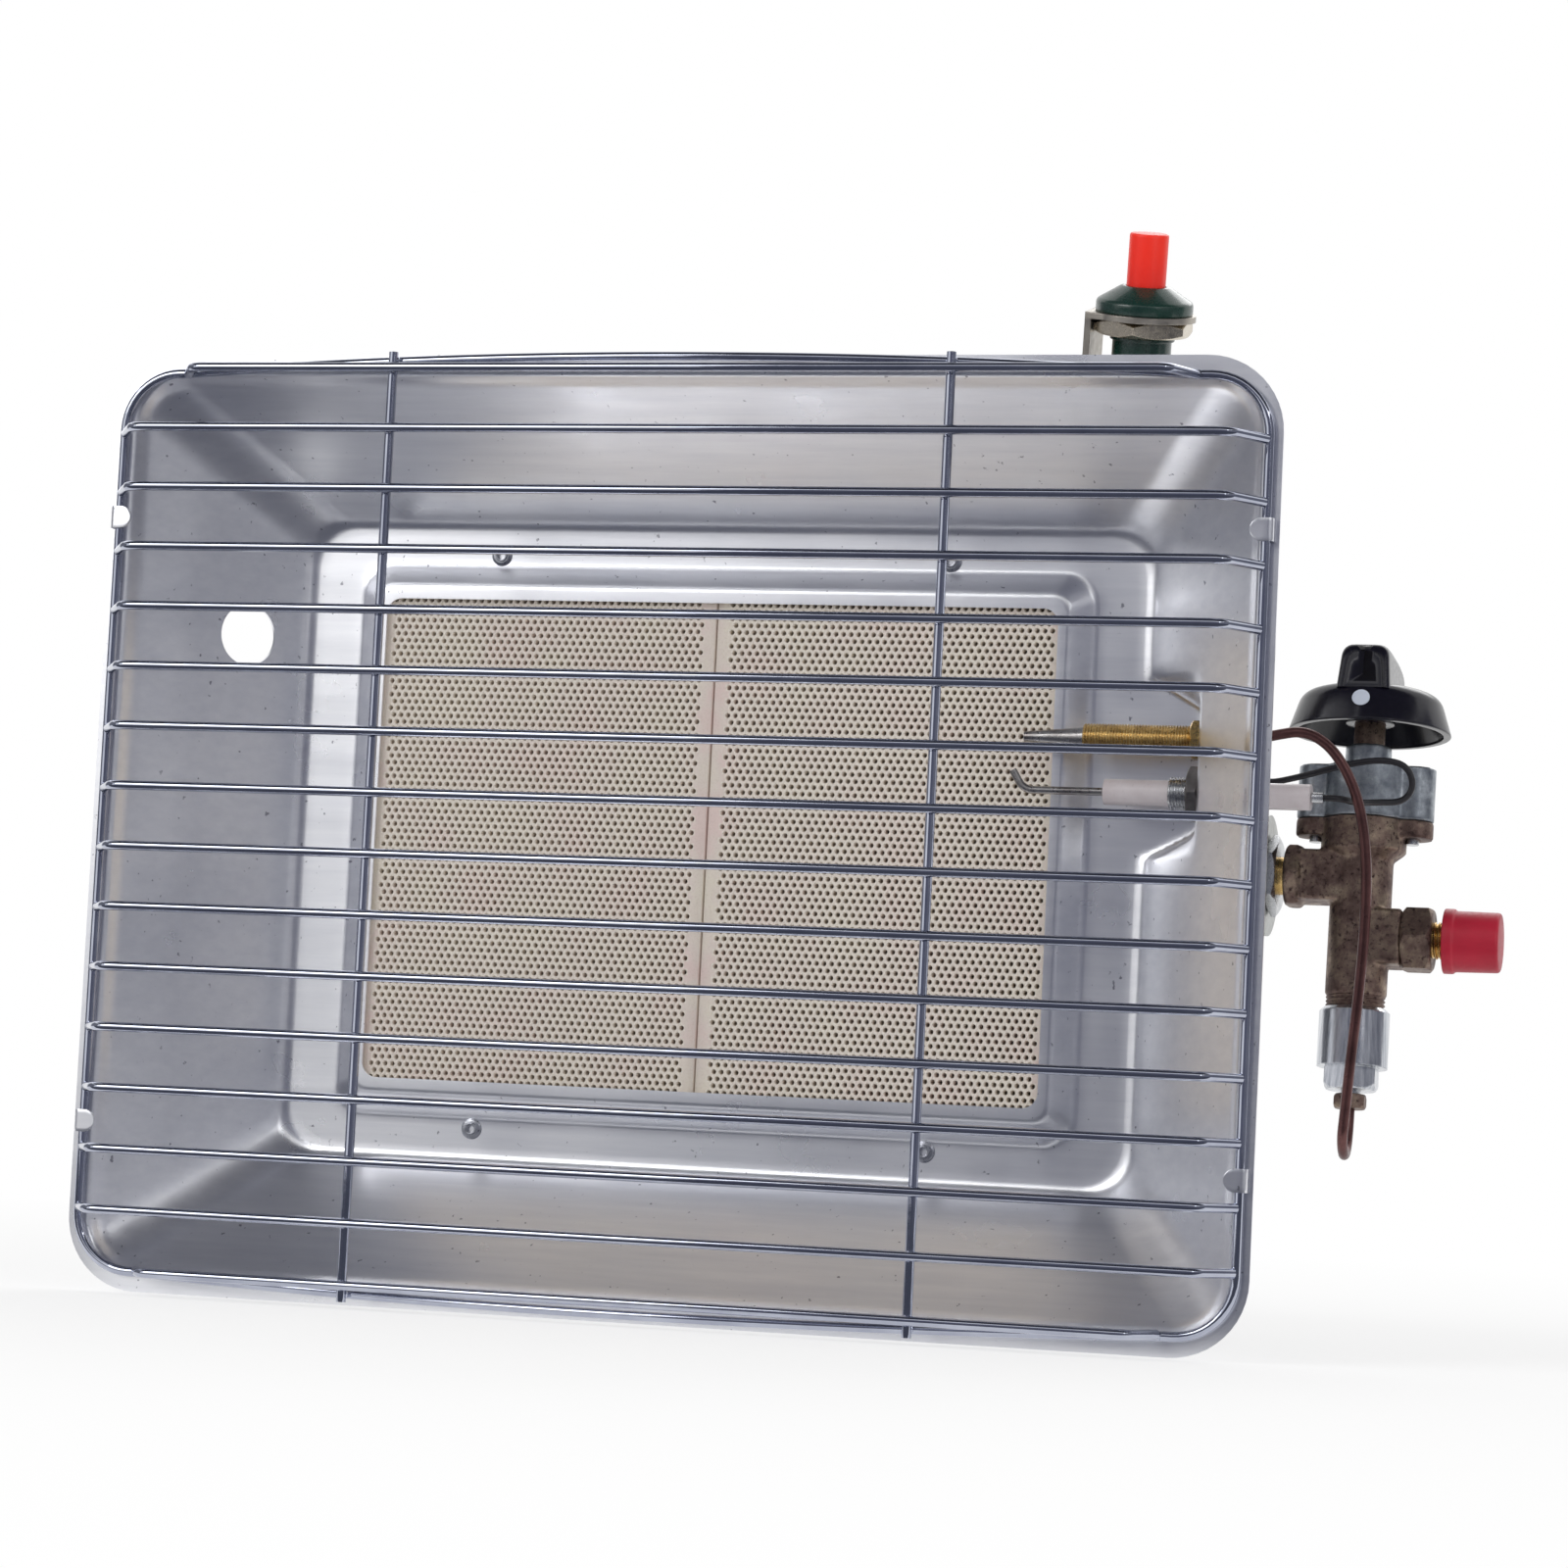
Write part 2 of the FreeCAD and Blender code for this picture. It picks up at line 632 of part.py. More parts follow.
def reflector_rivets():
    """Four blind rivets that hold the burner box to the plate."""
    solids = []
    grip = 2 * SHEET
    for x, z in rivet_places():
        head = cone(Vector(x, BOWL_DEPTH - RIVET_HEAD_HIGH, z), AXIS_Y, RIVET_HEAD_HIGH,
                    RIVET_CROWN, RIVET_HEAD)
        body = rod(Vector(x, BOWL_DEPTH, z), AXIS_Y, grip, RIVET_BODY)
        tail = rod(Vector(x, BOWL_DEPTH + grip, z), AXIS_Y, RIVET_TAIL_LONG, RIVET_TAIL)
        hole = rod(Vector(x, BOWL_DEPTH - DRILL_REACH, z), AXIS_Y, 2 * DRILL_REACH, RIVET_HOLE)
        solids.append(one(head.fuse(body).fuse(tail).cut(hole)))
    return solids


def burner_box():
    """Drawn steel box: flange on the plate, a ledge that backs the tiles, and the gas chamber."""
    front_y = PLATE_BACK_Y
    box_back = LEDGE_Y + SHEET
    corner = BOX_CORNER
    body = slab(EMBOSS_X + BOX_FLANGE, EMBOSS_Z + BOX_FLANGE, BOX_FLANGE_CORNER, front_y, front_y + SHEET)
    body = body.fuse(slab(BOX_X + SHEET, BOX_Z + SHEET, corner, front_y, box_back))
    body = body.fuse(slab(CUP_X + SHEET, CUP_Z + SHEET, corner, box_back, BOX_BACK_Y))
    body = body.cut(slab(BOX_X, BOX_Z, corner - SHEET, front_y, LEDGE_Y))
    body = body.cut(slab(CUP_X, CUP_Z, corner - SHEET, front_y, BOX_BACK_Y - SHEET))
    wall = Vector(CUP_X - 2, GAS_AXIS_Y, GAS_AXIS_Z)
    body = body.cut(rod(wall, AXIS_X, SHEET + 4, MIX_TUBE + CLOSE_FIT))
    for x, z in rivet_places():
        body = body.cut(rod(Vector(x, front_y - 1, z), AXIS_Y, 4, RIVET_BODY + CLOSE_FIT))
    for x, z in hat_screw_places():
        start = Vector(x, BOX_BACK_Y - DRILL_REACH, z)
        body = body.cut(rod(start, AXIS_Y, 2 * DRILL_REACH, IGN_SCREW + CLOSE_FIT))
    for place in foot_screw_places():
        body = body.cut(rod(place - AXIS_Z * DRILL_REACH, AXIS_Z, 2 * DRILL_REACH, IGN_SCREW + CLOSE_FIT))
    return one(body)


def tile_gasket():
    """Ceramic fibre seal: a thin lip in front of the tiles and a band round them."""
    front_y = PLATEAU_Y + SHEET + CLOSE_FIT / 2
    knee_y = PLATE_BACK_Y
    emboss_step = SHEET * EMBOSS_RUN / EMBOSS_RISE
    emboss_skin = SHEET * math.hypot(EMBOSS_RUN, EMBOSS_RISE) / EMBOSS_RISE
    lip_x = PLATEAU_X + emboss_step - emboss_skin - FIT
    lip_z = PLATEAU_Z + emboss_step - emboss_skin - FIT
    band_x = BOX_X - CLOSE_FIT
    band_z = BOX_Z - CLOSE_FIT
    corner = BOX_CORNER - SHEET
    body = layers([(front_y, lip_x, lip_z, TILE_CORNER), (knee_y, band_x, band_z, corner)])
    body = body.fuse(slab(band_x, band_z, corner, knee_y, TILE_BACK_Y))
    body = body.cut(slab(TILES_HALF_X + CLOSE_FIT, TILES_HALF_Z + CLOSE_FIT, TILE_CORNER,
                         TILE_FRONT_Y - CLOSE_FIT / 2, TILE_BACK_Y + 1))
    body = body.cut(slab(OPENING_X + FIT, OPENING_Z + FIT, OPENING_CORNER, 0, TILE_BACK_Y))
    return one(body)


def ceramic_tile(side):
    """One perforated ceramic tile, solid here; its fine holes are surface detail."""
    middle = side * (TILE_SEAM + TILE_WIDTH) / 2
    tile = slab(TILE_WIDTH / 2, TILE_HEIGHT / 2, TILE_CORNER, TILE_FRONT_Y, TILE_BACK_Y)
    return tile.translated(Vector(middle, 0, 0))


def distributor_baffle():
    """Slotted sheet across the gas chamber that spreads the mixture behind the tiles."""
    front_y = LEDGE_Y + SHEET + BAFFLE_GAP
    plate = slab(CUP_X - CLOSE_FIT, CUP_Z - CLOSE_FIT, BOX_CORNER - SHEET, front_y, front_y + BAFFLE_THICK)
    for i in range(BAFFLE_SLOTS):
        for side in (-1, 1):
            x = (i - (BAFFLE_SLOTS - 1) / 2) * BAFFLE_SLOT_PITCH
            z = side * (BAFFLE_SLOT_LONG / 2 + BAFFLE_SLOT_WIDE)
            plate = plate.cut(box(x - BAFFLE_SLOT_WIDE / 2, x + BAFFLE_SLOT_WIDE / 2, front_y - 1,
                                  front_y + 2, z - BAFFLE_SLOT_LONG / 2, z + BAFFLE_SLOT_LONG / 2))
    return one(plate)


def gas_point(x):
    return Vector(x, GAS_AXIS_Y, GAS_AXIS_Z)


def mixing_tube():
    """Tube into the gas chamber with a flared bell that takes in air round the injector."""
    bell_end = DISC_FACE_X - DISC_PLATE - CLOSE_FIT
    bell_start = bell_end - MIX_BELL_LONG
    cone_start = bell_start - MIX_CONE_LONG
    outside = rod(gas_point(MIX_END_X), AXIS_X, cone_start - MIX_END_X, MIX_TUBE)
    outside = outside.fuse(cone(gas_point(cone_start), AXIS_X, MIX_CONE_LONG, MIX_TUBE, MIX_BELL))
    outside = outside.fuse(rod(gas_point(bell_start), AXIS_X, MIX_BELL_LONG, MIX_BELL))
    thin = 2 * MIX_WALL
    inside = rod(gas_point(MIX_END_X + MIX_WALL), AXIS_X, cone_start - MIX_END_X - MIX_WALL, MIX_TUBE - thin)
    inside = inside.fuse(cone(gas_point(cone_start), AXIS_X, MIX_CONE_LONG, MIX_TUBE - thin, MIX_BELL - thin))
    inside = inside.fuse(rod(gas_point(bell_start), AXIS_X, MIX_BELL_LONG, MIX_BELL - thin))
    body = outside.cut(inside)
    port = gas_point((bell_start + bell_end) / 2)
    body = body.cut(rod(port - AXIS_Y * MIX_BELL, AXIS_Y, 2 * MIX_BELL, AIR_PORT))
    body = body.cut(rod(port - AXIS_Z * MIX_BELL, AXIS_Z, 2 * MIX_BELL, AIR_PORT))
    for i in range(MIX_SLOTS):
        x = MIX_END_X + MIX_SLOT_START + i * MIX_SLOT_PITCH
        body = body.cut(box(x, x + MIX_SLOT_LONG, GAS_AXIS_Y, GAS_AXIS_Y + MIX_TUBE,
                            GAS_AXIS_Z - MIX_SLOT_WIDE / 2, GAS_AXIS_Z + MIX_SLOT_WIDE / 2))
    return one(body)


def air_disc():
    """Shallow lid on the bell, with the injector through its middle."""
    start = gas_point(DISC_FACE_X - DISC_DEEP)
    body = rod(start, AXIS_X, DISC_DEEP, DISC)
    body = body.cut(rod(start, AXIS_X, DISC_DEEP - DISC_PLATE, MIX_BELL + CLOSE_FIT))
    return one(body.cut(rod(start, AXIS_X, 2 * DISC_DEEP, INJECTOR + CLOSE_FIT)))


def injector():
    """Brass nipple from the valve outlet through the disc, with the gas jet in its nose."""
    start = DISC_FACE_X - DISC_PLATE - INJECTOR_NOSE
    end = OUTLET_FACE_X + OUTLET_COLLAR_LONG + 1
    shoulder = DISC_FACE_X - DISC_PLATE - INJECTOR_SHOULDER
    body = rod(gas_point(shoulder), AXIS_X, end - shoulder, INJECTOR)
    body = body.fuse(rod(gas_point(start + INJECTOR_TIP), AXIS_X, shoulder - start - INJECTOR_TIP,
                         INJECTOR_NECK))
    body = body.fuse(cone(gas_point(start), AXIS_X, INJECTOR_TIP, INJECTOR_NOSE_END, INJECTOR_NECK))
    hex_start = gas_point(shoulder - INJECTOR_HEX_LONG + INJECTOR_HEX_FRONT)
    body = body.fuse(nut(hex_start, AXIS_X, INJECTOR_HEX_LONG, INJECTOR_HEX, 0))
    body = body.cut(rod(gas_point(start + 4), AXIS_X, end - start, INJECTOR_BORE))
    return one(body.cut(rod(gas_point(start - 1), AXIS_X, 2 * INJECTOR_TIP + DRILL_REACH, INJECTOR_JET)))


def injector_nut():
    """Thin zinc nut that clamps the injector to the disc."""
    return nut(gas_point(DISC_FACE_X), AXIS_X, NUT_THICK, NUT_FLATS, INJECTOR + CLOSE_FIT)


def eared_plate(low, high):
    """The shape shared by the bonnet and the valve flange: a round middle with two ears."""
    body = rod(Vector(0, 0, low), AXIS_Z, high - low, UPPER_BODY)
    body = body.fuse(box(-EAR_X, EAR_X, -EAR_WIDTH / 2, EAR_WIDTH / 2, low, high))
    for side in (-1, 1):
        body = body.fuse(rod(Vector(side * EAR_X, 0, low), AXIS_Z, high - low, EAR_WIDTH))
    return body


def valve_body():
    """Cast brass body: upright barrel, outlet to the left, inlet to the right, eared flange on top."""
    taper_low = UPPER_LOW - UPPER_TAPER
    body = rod(Vector(0, 0, BARREL_LOW), AXIS_Z, FLANGE_LOW - BARREL_LOW, BARREL)
    body = body.fuse(rod(Vector(0, 0, UPPER_LOW), AXIS_Z, FLANGE_LOW - UPPER_LOW, UPPER_BODY))
    body = body.fuse(cone(Vector(0, 0, taper_low), AXIS_Z, UPPER_TAPER, BARREL, UPPER_BODY))
    body = body.fuse(eared_plate(FLANGE_LOW, FLANGE_TOP))
    thread_end = THREAD_LOW - HOUSING_LONG * 0.5
    body = body.fuse(rod(Vector(0, 0, thread_end), AXIS_Z, BARREL_LOW - thread_end, THREAD))
    collar_x = OUTLET_FACE_X - VALVE_X
    boss_x = collar_x + OUTLET_COLLAR_LONG
    half = OUTLET_BOSS / 2
    boss = box(boss_x - 0.5, 0, -half, half, -half, half)
    boss = boss.makeFillet(OUTLET_FILLET, [e for e in boss.Edges if abs(e.tangentAt(e.FirstParameter).x) > 0.9])
    body = body.fuse(boss)
    body = body.fuse(nut(Vector(collar_x, 0, 0), AXIS_X, OUTLET_COLLAR_LONG, OUTLET_COLLAR, 0, HEX_TURN))
    inlet_x = INLET_BOSS_X - VALVE_X
    half = INLET_BOSS / 2
    boss = box(0, inlet_x, -half, half, -INLET_DROP - half, -INLET_DROP + half)
    boss = boss.makeFillet(INLET_FILLET, [e for e in boss.Edges if abs(e.tangentAt(e.FirstParameter).x) > 0.9])
    body = body.fuse(boss)
    chamber_top = INLET_BOSS / 2 - INLET_DROP - 1
    body = body.cut(rod(Vector(0, 0, thread_end), AXIS_Z, chamber_top - thread_end, MAGNET_UNIT + CLOSE_FIT))
    body = body.cut(rod(Vector(0, 0, chamber_top - 1), AXIS_Z, FLANGE_TOP - chamber_top, PUSH_ROD + 1))
    plug_low = PLUG_BOTTOM - FIT
    body = body.cut(rod(Vector(0, 0, plug_low), AXIS_Z, FLANGE_TOP + 1 - plug_low, PLUG + 2 * CLOSE_FIT))
    body = body.cut(rod(Vector(collar_x - 1, 0, 0), AXIS_X, OUTLET_BORE_DEEP, INJECTOR + CLOSE_FIT))
    body = body.cut(rod(Vector(collar_x, 0, 0), AXIS_X, -collar_x, INLET_BORE))
    body = body.cut(rod(Vector(0, 0, -INLET_DROP), AXIS_X, inlet_x + 1, INLET_BORE))
    body = body.cut(rod(Vector(inlet_x - INLET_SEAT, 0, -INLET_DROP), AXIS_X, DRILL_REACH,
                        INLET_NIPPLE + CLOSE_FIT))
    for side in (-1, 1):
        hole_low = FLANGE_LOW - SCREW_PROUD - 1
        body = body.cut(rod(Vector(side * EAR_X, 0, hole_low), AXIS_Z, 2 * DRILL_REACH, SCREW + CLOSE_FIT))
    return one(body)


def bonnet_ceiling():
    return BONNET_TOP - BONNET_ROOF


def valve_bonnet():
    """Die-cast zinc cover over the plug, with the neck that guides the spindle."""
    body = eared_plate(FLANGE_TOP, BONNET_TOP)
    body = body.fuse(rod(Vector(0, 0, BONNET_TOP), AXIS_Z, NECK_HIGH, NECK))
    hollow = PLUG + 2 * CLOSE_FIT
    body = body.cut(rod(Vector(0, 0, FLANGE_TOP - 1), AXIS_Z, bonnet_ceiling() + 1 - FLANGE_TOP, hollow))
    body = body.cut(rod(Vector(0, 0, FLANGE_TOP), AXIS_Z, BONNET_HIGH + NECK_HIGH + 1, SPINDLE + 2 * CLOSE_FIT))
    for side in (-1, 1):
        low = Vector(side * EAR_X, 0, FLANGE_TOP - 1)
        body = body.cut(rod(low, AXIS_Z, BONNET_HIGH + 2, SCREW + CLOSE_FIT))
        seat = Vector(side * EAR_X, 0, BONNET_TOP - SCREW_SINK)
        body = body.cut(rod(seat, AXIS_Z, SCREW_SINK + 1, SCREW_HEAD + 2 * CLOSE_FIT))
    return one(body)


def bonnet_screws():
    """Two sunk screws down through the bonnet's ears into the valve flange."""
    solids = []
    for side in (-1, 1):
        place = Vector(side * EAR_X, 0, FLANGE_LOW - SCREW_PROUD)
        seat = BONNET_TOP - SCREW_SINK
        body = rod(place, AXIS_Z, seat - place.z, SCREW)
        head = rod(Vector(place.x, 0, seat), AXIS_Z, SCREW_HEAD_HIGH, SCREW_HEAD)
        head_top = seat + SCREW_HEAD_HIGH
        slot_half = SCREW_SLOT_WIDE / 2
        slot = box(place.x - SCREW_HEAD, place.x + SCREW_HEAD, -slot_half, slot_half,
                   head_top - SCREW_SLOT_DEEP, head_top + 1)
        solids.append(one(body.fuse(head).cut(slot)))
    return solids


def valve_plug():
    """Brass plug turned by the spindle, with the gas way across it and the push rod down its middle."""
    body = cone(Vector(0, 0, PLUG_BOTTOM), AXIS_Z, PLUG_LONG, PLUG - 1.0, PLUG)
    body = body.fuse(rod(Vector(0, 0, PLUG_BOTTOM + PLUG_LONG), AXIS_Z, PLUG_HEAD_LONG, PLUG))
    top = PLUG_BOTTOM + PLUG_LONG + PLUG_HEAD_LONG
    way = rod(Vector(-PLUG, 0, 0), AXIS_X, PLUG, INLET_BORE - 1)
    body = body.cut(way)
    body = body.cut(rod(Vector(0, 0, PLUG_BOTTOM - 1), AXIS_Z, PLUG_LONG + 5, PUSH_ROD + 4 * CLOSE_FIT))
    slot_half = SPINDLE_KEY / 2 + CLOSE_FIT
    slot_low = spindle_key_low() - PUSH_TRAVEL - FIT
    body = body.cut(box(-PLUG, PLUG, -slot_half, slot_half, slot_low, top + 1))
    return one(body)


def spindle_key_low():
    return PLUG_BOTTOM + PLUG_LONG - FIT


def rod_foot():
    """Level of the push rod's foot, where it meets the safety disc."""
    return MAGNET_TOP + FIT + PUSH_TRAVEL + DISC_SEAL_THICK


def valve_spindle():
    """Spindle that turns the plug by its flat key and slides down when the knob is pushed."""
    key_low = spindle_key_low()
    key_top = key_low + SPINDLE_KEY_LONG
    top = KNOB_RIM_Z + SPINDLE_IN_KNOB
    half = SPINDLE_KEY / 2
    body = box(-SPINDLE / 2, SPINDLE / 2, -half, half, key_low, key_top)
    body = body.common(rod(Vector(0, 0, key_low), AXIS_Z, SPINDLE_KEY_LONG, SPINDLE))
    body = body.fuse(rod(Vector(0, 0, key_top - 0.5), AXIS_Z, top - key_top + 0.5, SPINDLE))
    flat = box(-SPINDLE, SPINDLE, SPINDLE_FLAT - SPINDLE / 2, SPINDLE, NECK_TOP + PUSH_TRAVEL, top + 1)
    body = body.cut(flat)
    return one(body.fuse(rod(Vector(0, 0, collar_low()), AXIS_Z, SPINDLE_COLLAR_THICK, SPINDLE_COLLAR)))


def collar_low():
    """Underside of the spindle's collar, which rests against the bonnet's ceiling."""
    return bonnet_ceiling() - CLOSE_FIT - SPINDLE_COLLAR_THICK


def push_rod():
    """Steel rod from the spindle's key down to the safety disc."""
    return rod(Vector(0, 0, rod_foot()), AXIS_Z, spindle_key_low() - rod_foot(), PUSH_ROD)


def safety_disc():
    """Rubber-faced disc that the magnet unit holds down while the flame burns."""
    return rod(Vector(0, 0, rod_foot() - DISC_SEAL_THICK), AXIS_Z, DISC_SEAL_THICK, DISC_SEAL)


def spindle_spring():
    """Return spring of the spindle, drawn as a plain tube at its pressed height."""
    low = PLUG_BOTTOM + PLUG_LONG + PLUG_HEAD_LONG + CLOSE_FIT
    high = collar_low() - PUSH_TRAVEL - CLOSE_FIT
    outer = SPINDLE + 2 * CLOSE_FIT + 2 * SPRING_WALL
    return ring(Vector(0, 0, low), AXIS_Z, high - low, outer, SPINDLE + 2 * CLOSE_FIT)


def magnet_unit():
    """Thermo-electric magnet in its can, held in the barrel by the housing nut."""
    low = HOUSING_LOW + 1.0
    body = rod(Vector(0, 0, low), AXIS_Z, MAGNET_TOP - low, MAGNET_UNIT)
    shank_low = HOUSING_END - UNION_NUT_GAP
    return one(body.fuse(rod(Vector(0, 0, shank_low), AXIS_Z, low - shank_low, MAGNET_SHANK)))


def magnet_housing():
    """Zinc-plated round nut with a hexagon below, screwed on the barrel's thread."""
    body = rod(Vector(0, 0, HOUSING_LOW), AXIS_Z, HOUSING_LONG - 1, HOUSING)
    body = body.fuse(cone(Vector(0, 0, THREAD_LOW - 1), AXIS_Z, 1.0, HOUSING, HOUSING - 2))
    end = Vector(0, 0, HOUSING_END)
    body = body.fuse(nut(end, AXIS_Z, HOUSING_HEX_LONG + 1, HOUSING_HEX, 0, HEX_TURN, HOUSING_HEX_BEVEL))
    thread_end = THREAD_LOW - HOUSING_LONG * 0.5
    body = body.cut(rod(Vector(0, 0, thread_end), AXIS_Z, THREAD_LOW + 1 - thread_end, THREAD + CLOSE_FIT))
    bottom = HOUSING_LOW + 1.0
    body = body.cut(rod(Vector(0, 0, bottom), AXIS_Z, thread_end + 1 - bottom, MAGNET_UNIT + CLOSE_FIT))
    body = body.cut(rod(end - AXIS_Z, AXIS_Z, bottom + 2 - HOUSING_END, MAGNET_SHANK + CLOSE_FIT))
    return one(body)


def union_nut_low():
    return HOUSING_END - UNION_NUT_GAP - UNION_NUT_LONG


def thermocouple_union_nut():
    """Small brass nut that joins the capillary to the magnet unit."""
    start = Vector(0, 0, union_nut_low())
    return nut(start, AXIS_Z, UNION_NUT_LONG, UNION_NUT, CAPILLARY + CLOSE_FIT, HEX_TURN)


def inlet_fitting():
    """Brass inlet: hexagon against the boss and a threaded nipple for the gas hose."""
    start = INLET_BOSS_X - VALVE_X
    centre = Vector(start, 0, -INLET_DROP)
    body = nut(centre, AXIS_X, INLET_HEX_LONG, INLET_HEX, 0, HEX_TURN, NUT_BEVEL)
    body = body.fuse(rod(centre + AXIS_X * INLET_HEX_LONG, AXIS_X, INLET_NIPPLE_LONG, INLET_NIPPLE))
    spigot = INLET_SEAT - INLET_SPIGOT_CLEAR
    body = body.fuse(rod(centre - AXIS_X * spigot, AXIS_X, spigot + 1, INLET_NIPPLE))
    bore_long = INLET_HEX_LONG + INLET_NIPPLE_LONG + 2 * DRILL_REACH
    return one(body.cut(rod(centre - AXIS_X * DRILL_REACH, AXIS_X, bore_long, INLET_BORE)))


def inlet_cap():
    """Soft dust cap over the nipple, open towards the valve."""
    start = Vector(CAP_X - VALVE_X, 0, -INLET_DROP)
    body = cone(start, AXIS_X, CAP_LONG, CAP, CAP - CAP_TAPER)
    body = body.fuse(rod(start, AXIS_X, CAP_LIP_LONG, CAP_LIP))
    body = body.cut(rod(start - AXIS_X, AXIS_X, CAP_LONG + 1 - CAP_END, INLET_NIPPLE + 2 * CLOSE_FIT))
    return one(body)


def knob():
    """Moulded knob: hollow round skirt, domed top and a cross bar to grip."""
    rim = KNOB_RIM_Z
    skirt = cone(Vector(0, 0, rim), AXIS_Z, KNOB_SHOULDER_HIGH, KNOB, KNOB_SHOULDER)
    dome_rise = KNOB_DOME_HIGH - KNOB_SHOULDER_HIGH
    dome = cone(Vector(0, 0, rim + KNOB_SHOULDER_HIGH), AXIS_Z, dome_rise, KNOB_SHOULDER, KNOB_CROWN)
    hollow = cone(Vector(0, 0, rim - 0.01), AXIS_Z, KNOB_SHOULDER_HIGH, KNOB - 2 * KNOB_WALL,
                  KNOB_SHOULDER - 2 * KNOB_WALL)
    body = skirt.fuse(dome)
    half = GRIP_LONG / 2
    wide, narrow = GRIP_WIDE / 2, GRIP_TOP_WIDE / 2
    low = rim + KNOB_SHOULDER_HIGH - 1
    high = rim + KNOB_HIGH
    corners = [(-wide, low), (wide, low), (narrow, high), (-narrow, high)]
    points = [Vector(x, -half, z) for x, z in corners + corners[:1]]
    bar = Part.Face(Part.makePolygon(points)).extrude(AXIS_Y * GRIP_LONG)
    bar = bar.common(cone(Vector(0, 0, low), AXIS_Z, high - low, GRIP_LONG + 1.0, GRIP_LONG - 3.0))
    top_edges = [e for e in bar.Edges if min(v.Z for v in e.Vertexes) > high - 0.1]
    bar = bar.makeFillet(GRIP_ROUND, top_edges)
    body = body.fuse(bar).cut(hollow)
    ceiling = rim + KNOB_SHOULDER_HIGH
    hub_low = ceiling - KNOB_HUB_DEEP
    body = body.fuse(rod(Vector(0, 0, hub_low), AXIS_Z, KNOB_HUB_DEEP + 0.5, KNOB_HUB))
    for angle in (0, 90):
        rib = box(-KNOB_SHOULDER / 2 + KNOB_WALL, KNOB_SHOULDER / 2 - KNOB_WALL,
                  -KNOB_RIB / 2, KNOB_RIB / 2, ceiling - KNOB_RIB_DEEP, ceiling + FIT)
        rib.rotate(Vector(0, 0, 0), AXIS_Z, angle)
        body = body.fuse(rib)
    socket = rod(Vector(0, 0, hub_low - 1), AXIS_Z, rim + SPINDLE_IN_KNOB + FIT - hub_low + 1,
                 SPINDLE + CLOSE_FIT)
    body = body.cut(socket)
    pointer = box(-POINTER_WIDE / 2, POINTER_WIDE / 2, -half - 2, -half + POINTER_DEEP,
                  rim + KNOB_DOME_HIGH, high + 1)
    body = body.cut(pointer)
    return one(body.cut(marker_shape(0.0)))


def marker_shape(proud):
    """The round mark on the front of the knob's skirt."""
    slope = math.atan2((KNOB - KNOB_SHOULDER) / 2, KNOB_SHOULDER_HIGH)
    radius = KNOB / 2 - MARKER_HIGH * math.tan(slope)
    normal = Vector(0, -math.cos(slope), math.sin(slope))
    middle = Vector(0, -radius, KNOB_RIM_Z + MARKER_HIGH)
    deep = MARKER_DEEP + (FIT if proud == 0 else 0)
    start = middle - normal * MARKER_DEEP
    length = MARKER_DEEP + (2.0 if proud == 0 else proud)
    return rod(start, normal, length, MARKER + (CLOSE_FIT / 2 if proud == 0 else 0))


def knob_marker():
    return marker_shape(MARKER_PROUD)


def igniter_bracket():
    """Strip bracket: an eye for the igniter, a long leg down and a foot on the burner box."""
    eye = rod(Vector(0, 0, -IGN_PLATE), AXIS_Z, IGN_PLATE, 2 * IGN_PLATE_ROUND)
    plate = box(IGN_LEG_X, 0, -IGN_LEG_DEEP / 2, IGN_LEG_DEEP / 2, -IGN_PLATE, 0)
    corner = [Vector(IGN_LEG_X, -IGN_LEG_DEEP / 2, -IGN_PLATE), Vector(0, -IGN_PLATE_ROUND, -IGN_PLATE),
              Vector(0, IGN_PLATE_ROUND, -IGN_PLATE), Vector(IGN_LEG_X, IGN_LEG_DEEP / 2, -IGN_PLATE)]
    web = Part.Face(Part.makePolygon(corner + corner[:1])).extrude(AXIS_Z * IGN_PLATE)
    seat = CUP_Z + SHEET
    leg_long = (IGNITER_Z - seat) / igniter_axis().z + IGN_LEG_DEEP
    leg = box(IGN_LEG_X, IGN_LEG_X + IGN_PLATE, -IGN_LEG_DEEP / 2, IGN_LEG_DEEP / 2, -leg_long, 0)
    body = eye.fuse(plate).fuse(web).fuse(leg)
    body = body.cut(rod(Vector(0, 0, -DRILL_REACH), AXIS_Z, 2 * DRILL_REACH, IGN_BARREL + CLOSE_FIT))
    body = lean_igniter(body)
    body = body.cut(box(0, RIM_WIDTH, 0, RIM_WIDTH, seat - leg_long, seat))
    foot_x, foot_y = foot_corner()
    foot = box(foot_x - IGN_FOOT_WIDE, foot_x, foot_y, foot_y + IGN_LEG_DEEP, seat, seat + IGN_PLATE)
    body = body.fuse(foot)
    for place in foot_screw_places():
        body = body.cut(rod(place - AXIS_Z * DRILL_REACH, AXIS_Z, 2 * DRILL_REACH, IGN_SCREW + CLOSE_FIT))
    return one(body)


def foot_corner():
    """Right front corner of the bracket's foot, under the slanting leg."""
    axis = igniter_axis()
    across = (AXIS_X - axis * axis.x).normalize()
    back = axis.cross(across)
    top = Vector(IGNITER_X, IGNITER_Y, IGNITER_Z) + across * (IGN_LEG_X + IGN_PLATE) - back * (IGN_LEG_DEEP / 2)
    drop = (top.z - CUP_Z - SHEET) / axis.z
    low = top - axis * drop
    return low.x, low.y + 1.0


